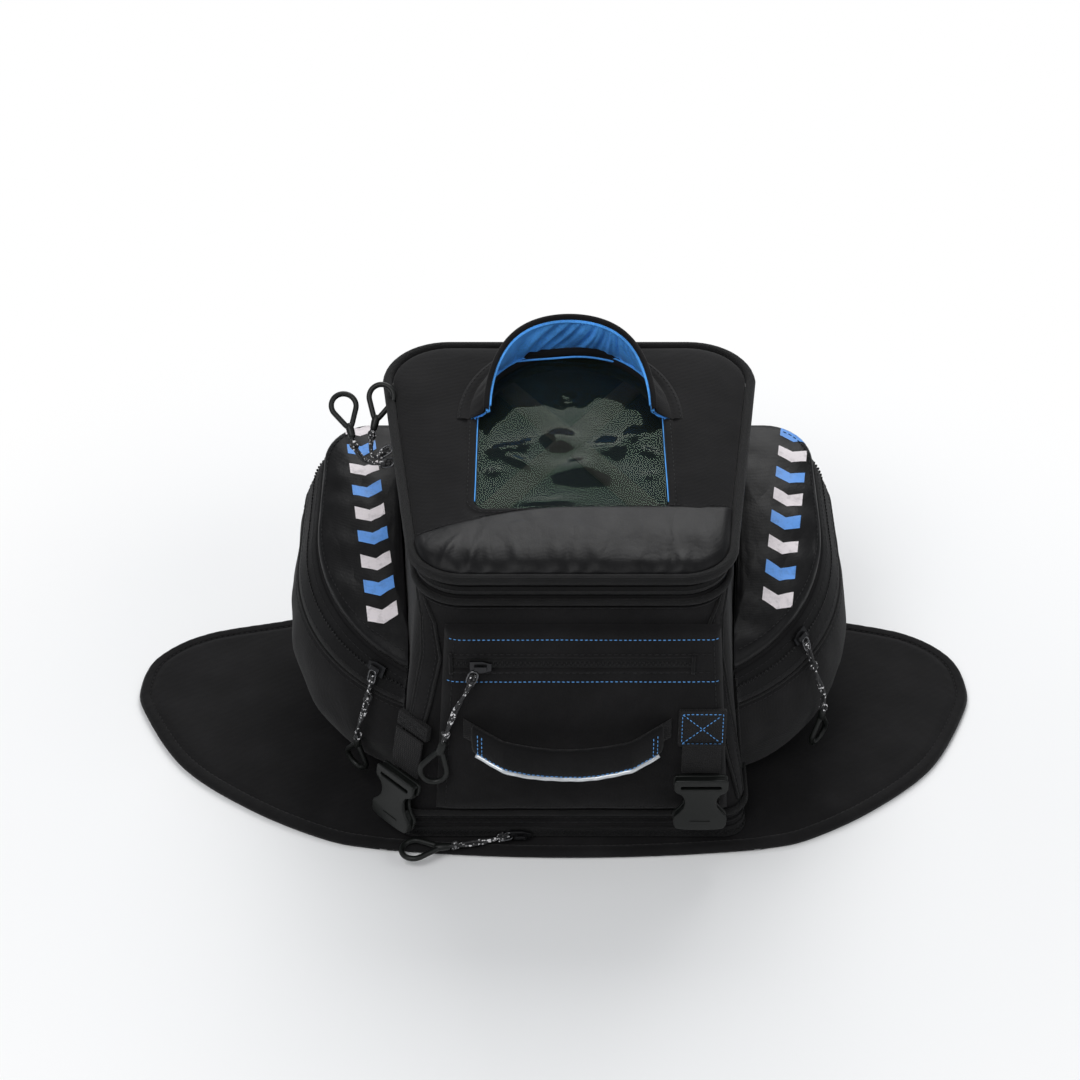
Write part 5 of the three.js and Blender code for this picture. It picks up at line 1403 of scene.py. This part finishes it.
def build_pocket_band(side, label):
    """The wide zip band under the flap: cloth above and below a coil, with a seam on each edge."""
    low, high = 0.80, 0.985
    section = ((0, 0.1), (0.02, 0.7), (0.25, 0.95), (0.5, 0.75), (0.75, 0.95), (0.98, 0.7), (1, 0.1))
    rows = [pocket_path(side, mix(low, high, t), out) for t, out in section]
    add_grid(f"{label}_pocket_zip_band", rows, "fabric_fine", "bag", f"{label}_pocket_zip_tape")
    coil_share = mix(low, high, 0.6)
    line = pocket_path(side, coil_share, 0.9)
    add_coil(f"{label}_pocket_coil", line, unit(line - pocket_path(side, coil_share, -4)), 1.7, 2.2, 1.1)
    add_tube(f"{label}_pocket_seam", pocket_path(side, low - 0.012, 0.35), 1.0, "piping", "bag", sides=8)
    lines = []
    for share, out in ((low - 0.045, 0.35), (low + 0.035, 0.95), (high - 0.03, 0.95)):
        path = pocket_path(side, share, out, 2, -10)
        lines.append((path, unit(path - pocket_path(side, share, -5, 2, -10))))
    add_stitches(f"{label}_pocket_stitches", lines, "bag")
    near = [outside_bag(pocket_ring(side, share)[2], 0.9) for share in np.linspace(0.02, 0.97, 40)]
    add_tube(f"{label}_pocket_near_welt", near, 1.3, "piping", "bag", sides=8)


def flap_hinge_x(y):
    """The hinge line's distance from the middle, at the flap's crown."""
    first, last = -60.0, 110.0
    ends = []
    for at in (first, last):
        height = flap_plane(at) + FLAP_CROWN
        ends.append(plan_half(at, (height - BAG_BOTTOM) / (rim_height(at) - BAG_BOTTOM)) + 1)
    return mix(*ends, (y - first) / (last - first))


def flap_ring(side, scale, lift, wavy=0.0):
    """A ring of the flap, scaled round its spine; wavy says how deep the satin's creases are."""
    xy = mix(FLAP_SPINE, pocket_outline(POCKET_LEVELS[2]), scale)
    points = level(xy * [side, 1], flap_plane(xy[:, 1]) + lift)
    if wavy:
        creases = swell(points * [0.5, 1.6, 1], 46, 61 if side < 0 else 62)
        points[:, 2] += (creases + 0.5 * swell(points * [1, 0.7, 1], 17, 63)) * wavy
    points = np.array([outside_bag(p, 0.7) for p in points])
    points[:, 0] = side * np.maximum(np.abs(points[:, 0]), flap_hinge_x(points[:, 1]))
    return points


def flap_rings(side):
    steps = ((0.02, 0), (0.5, 0), (0.97, 0), (0.995, 0.8), (1.0, 2.5), (1.0, 4.0))
    rows = [flap_ring(side, scale, up - FLAP_THICKNESS) for scale, up in steps]
    for scale in (0.995, 0.98, 0.96, 0.93, 0.89, 0.84, *np.arange(0.78, 0.1, -0.08).round(2), 0.07, 0.02):
        crown = FLAP_CROWN * (1 - scale**2) ** 0.8 - 1.4 * hump(scale, 1, 0.03)
        rows.append(flap_ring(side, scale, crown, min(1.0, (1 - scale) * 9)))
    return rows


def drop_onto(tree, side, x, y):
    """A point just above the flap, or above its rim where the print runs off it."""
    for back in np.arange(0, 20, 0.5):
        px, py = x - side * back * 0.5, y - back
        hit, normal, _, _ = tree.ray_cast(Vector((px * MM, py * MM, 0.4)), Vector((0, 0, -1)))
        if hit and normal.z > 0.5:
            return px, py, hit.z / MM + 0.22
    return x, y, flap_plane(y)


def build_chevrons(side, label, flap):
    """Printed arrows in two colours by turns, laid on the flap from the far end to the near one."""
    work = bmesh.new()
    work.from_mesh(flap.data)
    tree = BVHTree.FromBMesh(work)
    first, last = np.array(CHEVRON_ENDS[side])
    along = unit(last - first)
    across = np.array([-along[1], along[0]])
    start = 0 if side < 0 else 1
    for look, offset in (("print_white", start), ("print_blue", 1 - start)):
        points, faces = [], []
        for k in range(offset, CHEVRON_COUNT[side], 2):
            centre = mix(first, last, k / (CHEVRON_COUNT[side] - 1))
            faces += grid_faces(17, 7, start=len(points))
            for i in np.linspace(-1, 1, 17):
                for j in np.linspace(-0.5, 0.5, 7):
                    reach = CHEVRON_LONG * j + CHEVRON_DIP * (0.5 - abs(i))
                    x, y = centre + across * i * CHEVRON_WIDTH / 2 + along * reach
                    points.append(drop_onto(tree, side, x, y))
        add_mesh(f"{label}_flap_{look}", points, faces, look, f"{label}_flap")
    work.free()


def build_flap(side, label):
    body = f"{label}_flap"
    rings = flap_rings(side)
    flap = add_solid(f"{label}_flap_cloth", rings, "satin", body, f"{label}_pocket_lid")
    build_chevrons(side, label, flap)
    seam = rings[9][3:-10] + [0, 0, 0.35]
    add_stitches(f"{label}_flap_stitches", [(seam, UP)], body)


def build_pockets():
    for side, label in SIDES:
        build_pocket(side, label)
        build_pocket_band(side, label)
        build_flap(side, label)


# ================= Stage =================

# Places and sizes in metres
CAMERA_AT, CAMERA_DOWN = (-0.0225, -1.165, 1.023), 36.0  # it looks down by so many degrees
CAMERA_LENS, CAMERA_SENSOR = 64.0, 36.0  # in millimetres
LIGHTS = (("key", (-1.0, -1.6, 2.4), 1.8, 40), ("fill", (2.0, -1.2, 1.8), 1.7, 13),
          ("back", (0.2, 1.9, 2.1), 1.8, 47))  # name, place, size, watts
LIGHTS_AIM = (0, 0, 0.12)
FLOOR_HALF, FLOOR_DOWN = 9, 0.0004
FADE_START, FADE_END = 0.36, 0.72  # from the middle of the bag


def link(name, data, at):
    """Puts a light, camera or mesh into the scene."""
    thing = bpy.data.objects.new(name, data)
    thing.location = at
    bpy.context.scene.collection.objects.link(thing)
    return thing


def build_floor():
    """A white floor that fades into the white background away from the bag."""
    data = bpy.data.meshes.new("floor")
    corners = [(x * FLOOR_HALF, y * FLOOR_HALF, 0) for x, y in ((-1, -1), (1, -1), (1, 1), (-1, 1))]
    data.from_pydata(corners, [], [(0, 1, 2, 3)])
    nodes = Nodes("floor_white", None, (0.93, 0.93, 0.93), 0.9, Specular_IOR_Level=0.0)
    data.materials.append(nodes.material)
    link("floor", data, (0, 0, -FLOOR_DOWN))
    distance = nodes.add("VectorMath", nodes.place, operation="LENGTH").outputs["Value"]
    ramp = nodes.add("MapRange", Value=distance, From_Min=FADE_START, From_Max=FADE_END)
    ramp.interpolation_type = "SMOOTHSTEP"
    seen = nodes.add("LightPath").outputs["Is Camera Ray"]
    far = nodes.math("MULTIPLY", ramp.outputs["Result"], seen)
    white = nodes.add("Emission").outputs[0]
    both = nodes.add("MixShader", far, nodes.shader.outputs[0], white)
    output = next(node for node in nodes.tree.nodes if node.type == "OUTPUT_MATERIAL")
    nodes.feed(output, Surface=both.outputs[0])


def build_world():
    """A pale sky lights the bag; the camera sees plain white."""
    world = bpy.data.worlds.new("studio")
    bpy.context.scene.world = world
    world.use_nodes = True
    tree = world.node_tree
    sky, plain = tree.nodes["Background"], tree.nodes.new("ShaderNodeBackground")
    sky.inputs["Color"].default_value = (0.86, 0.9, 0.95, 1)
    sky.inputs["Strength"].default_value = 0.3
    plain.inputs["Color"].default_value = (1, 1, 1, 1)
    choose, seen = tree.nodes.new("ShaderNodeMixShader"), tree.nodes.new("ShaderNodeLightPath")
    for source, target in ((seen.outputs["Is Camera Ray"], choose.inputs["Fac"]),
                           (sky.outputs[0], choose.inputs[1]), (plain.outputs[0], choose.inputs[2]),
                           (choose.outputs[0], tree.nodes["World Output"].inputs["Surface"])):
        tree.links.new(source, target)


def build_lights():
    """Three square lamps that look at the bag."""
    for name, at, size, power in LIGHTS:
        lamp = bpy.data.lights.new(name, "AREA")
        lamp.shape = "SQUARE"
        lamp.size = size
        lamp.energy = power
        aim = Vector(LIGHTS_AIM) - Vector(at)
        link(name, lamp, at).rotation_euler = aim.to_track_quat("-Z", "Y").to_euler()


def build_camera():
    view = bpy.data.cameras.new("camera")
    view.lens = CAMERA_LENS
    view.sensor_width = CAMERA_SENSOR
    view.clip_end = 30
    camera = link("camera", view, CAMERA_AT)
    camera.rotation_euler = (math.radians(90 - CAMERA_DOWN), 0, 0)
    bpy.context.scene.camera = camera
    bpy.context.scene.view_settings.view_transform = "Standard"


make_looks()
build_floor()
build_world()
build_lights()
build_camera()
build_pulls()
build_leaf()
build_shell()
build_welts()
build_base_zip()
build_corner_bands()
build_lid()
build_window_edging()
build_lid_edge()
build_film()
build_map_sleeve()
build_map_elastic()
build_front_pad()
build_hood()
build_front_pocket()
build_front_zip()
build_front_seams()
build_handle()
build_straps()
build_pockets()
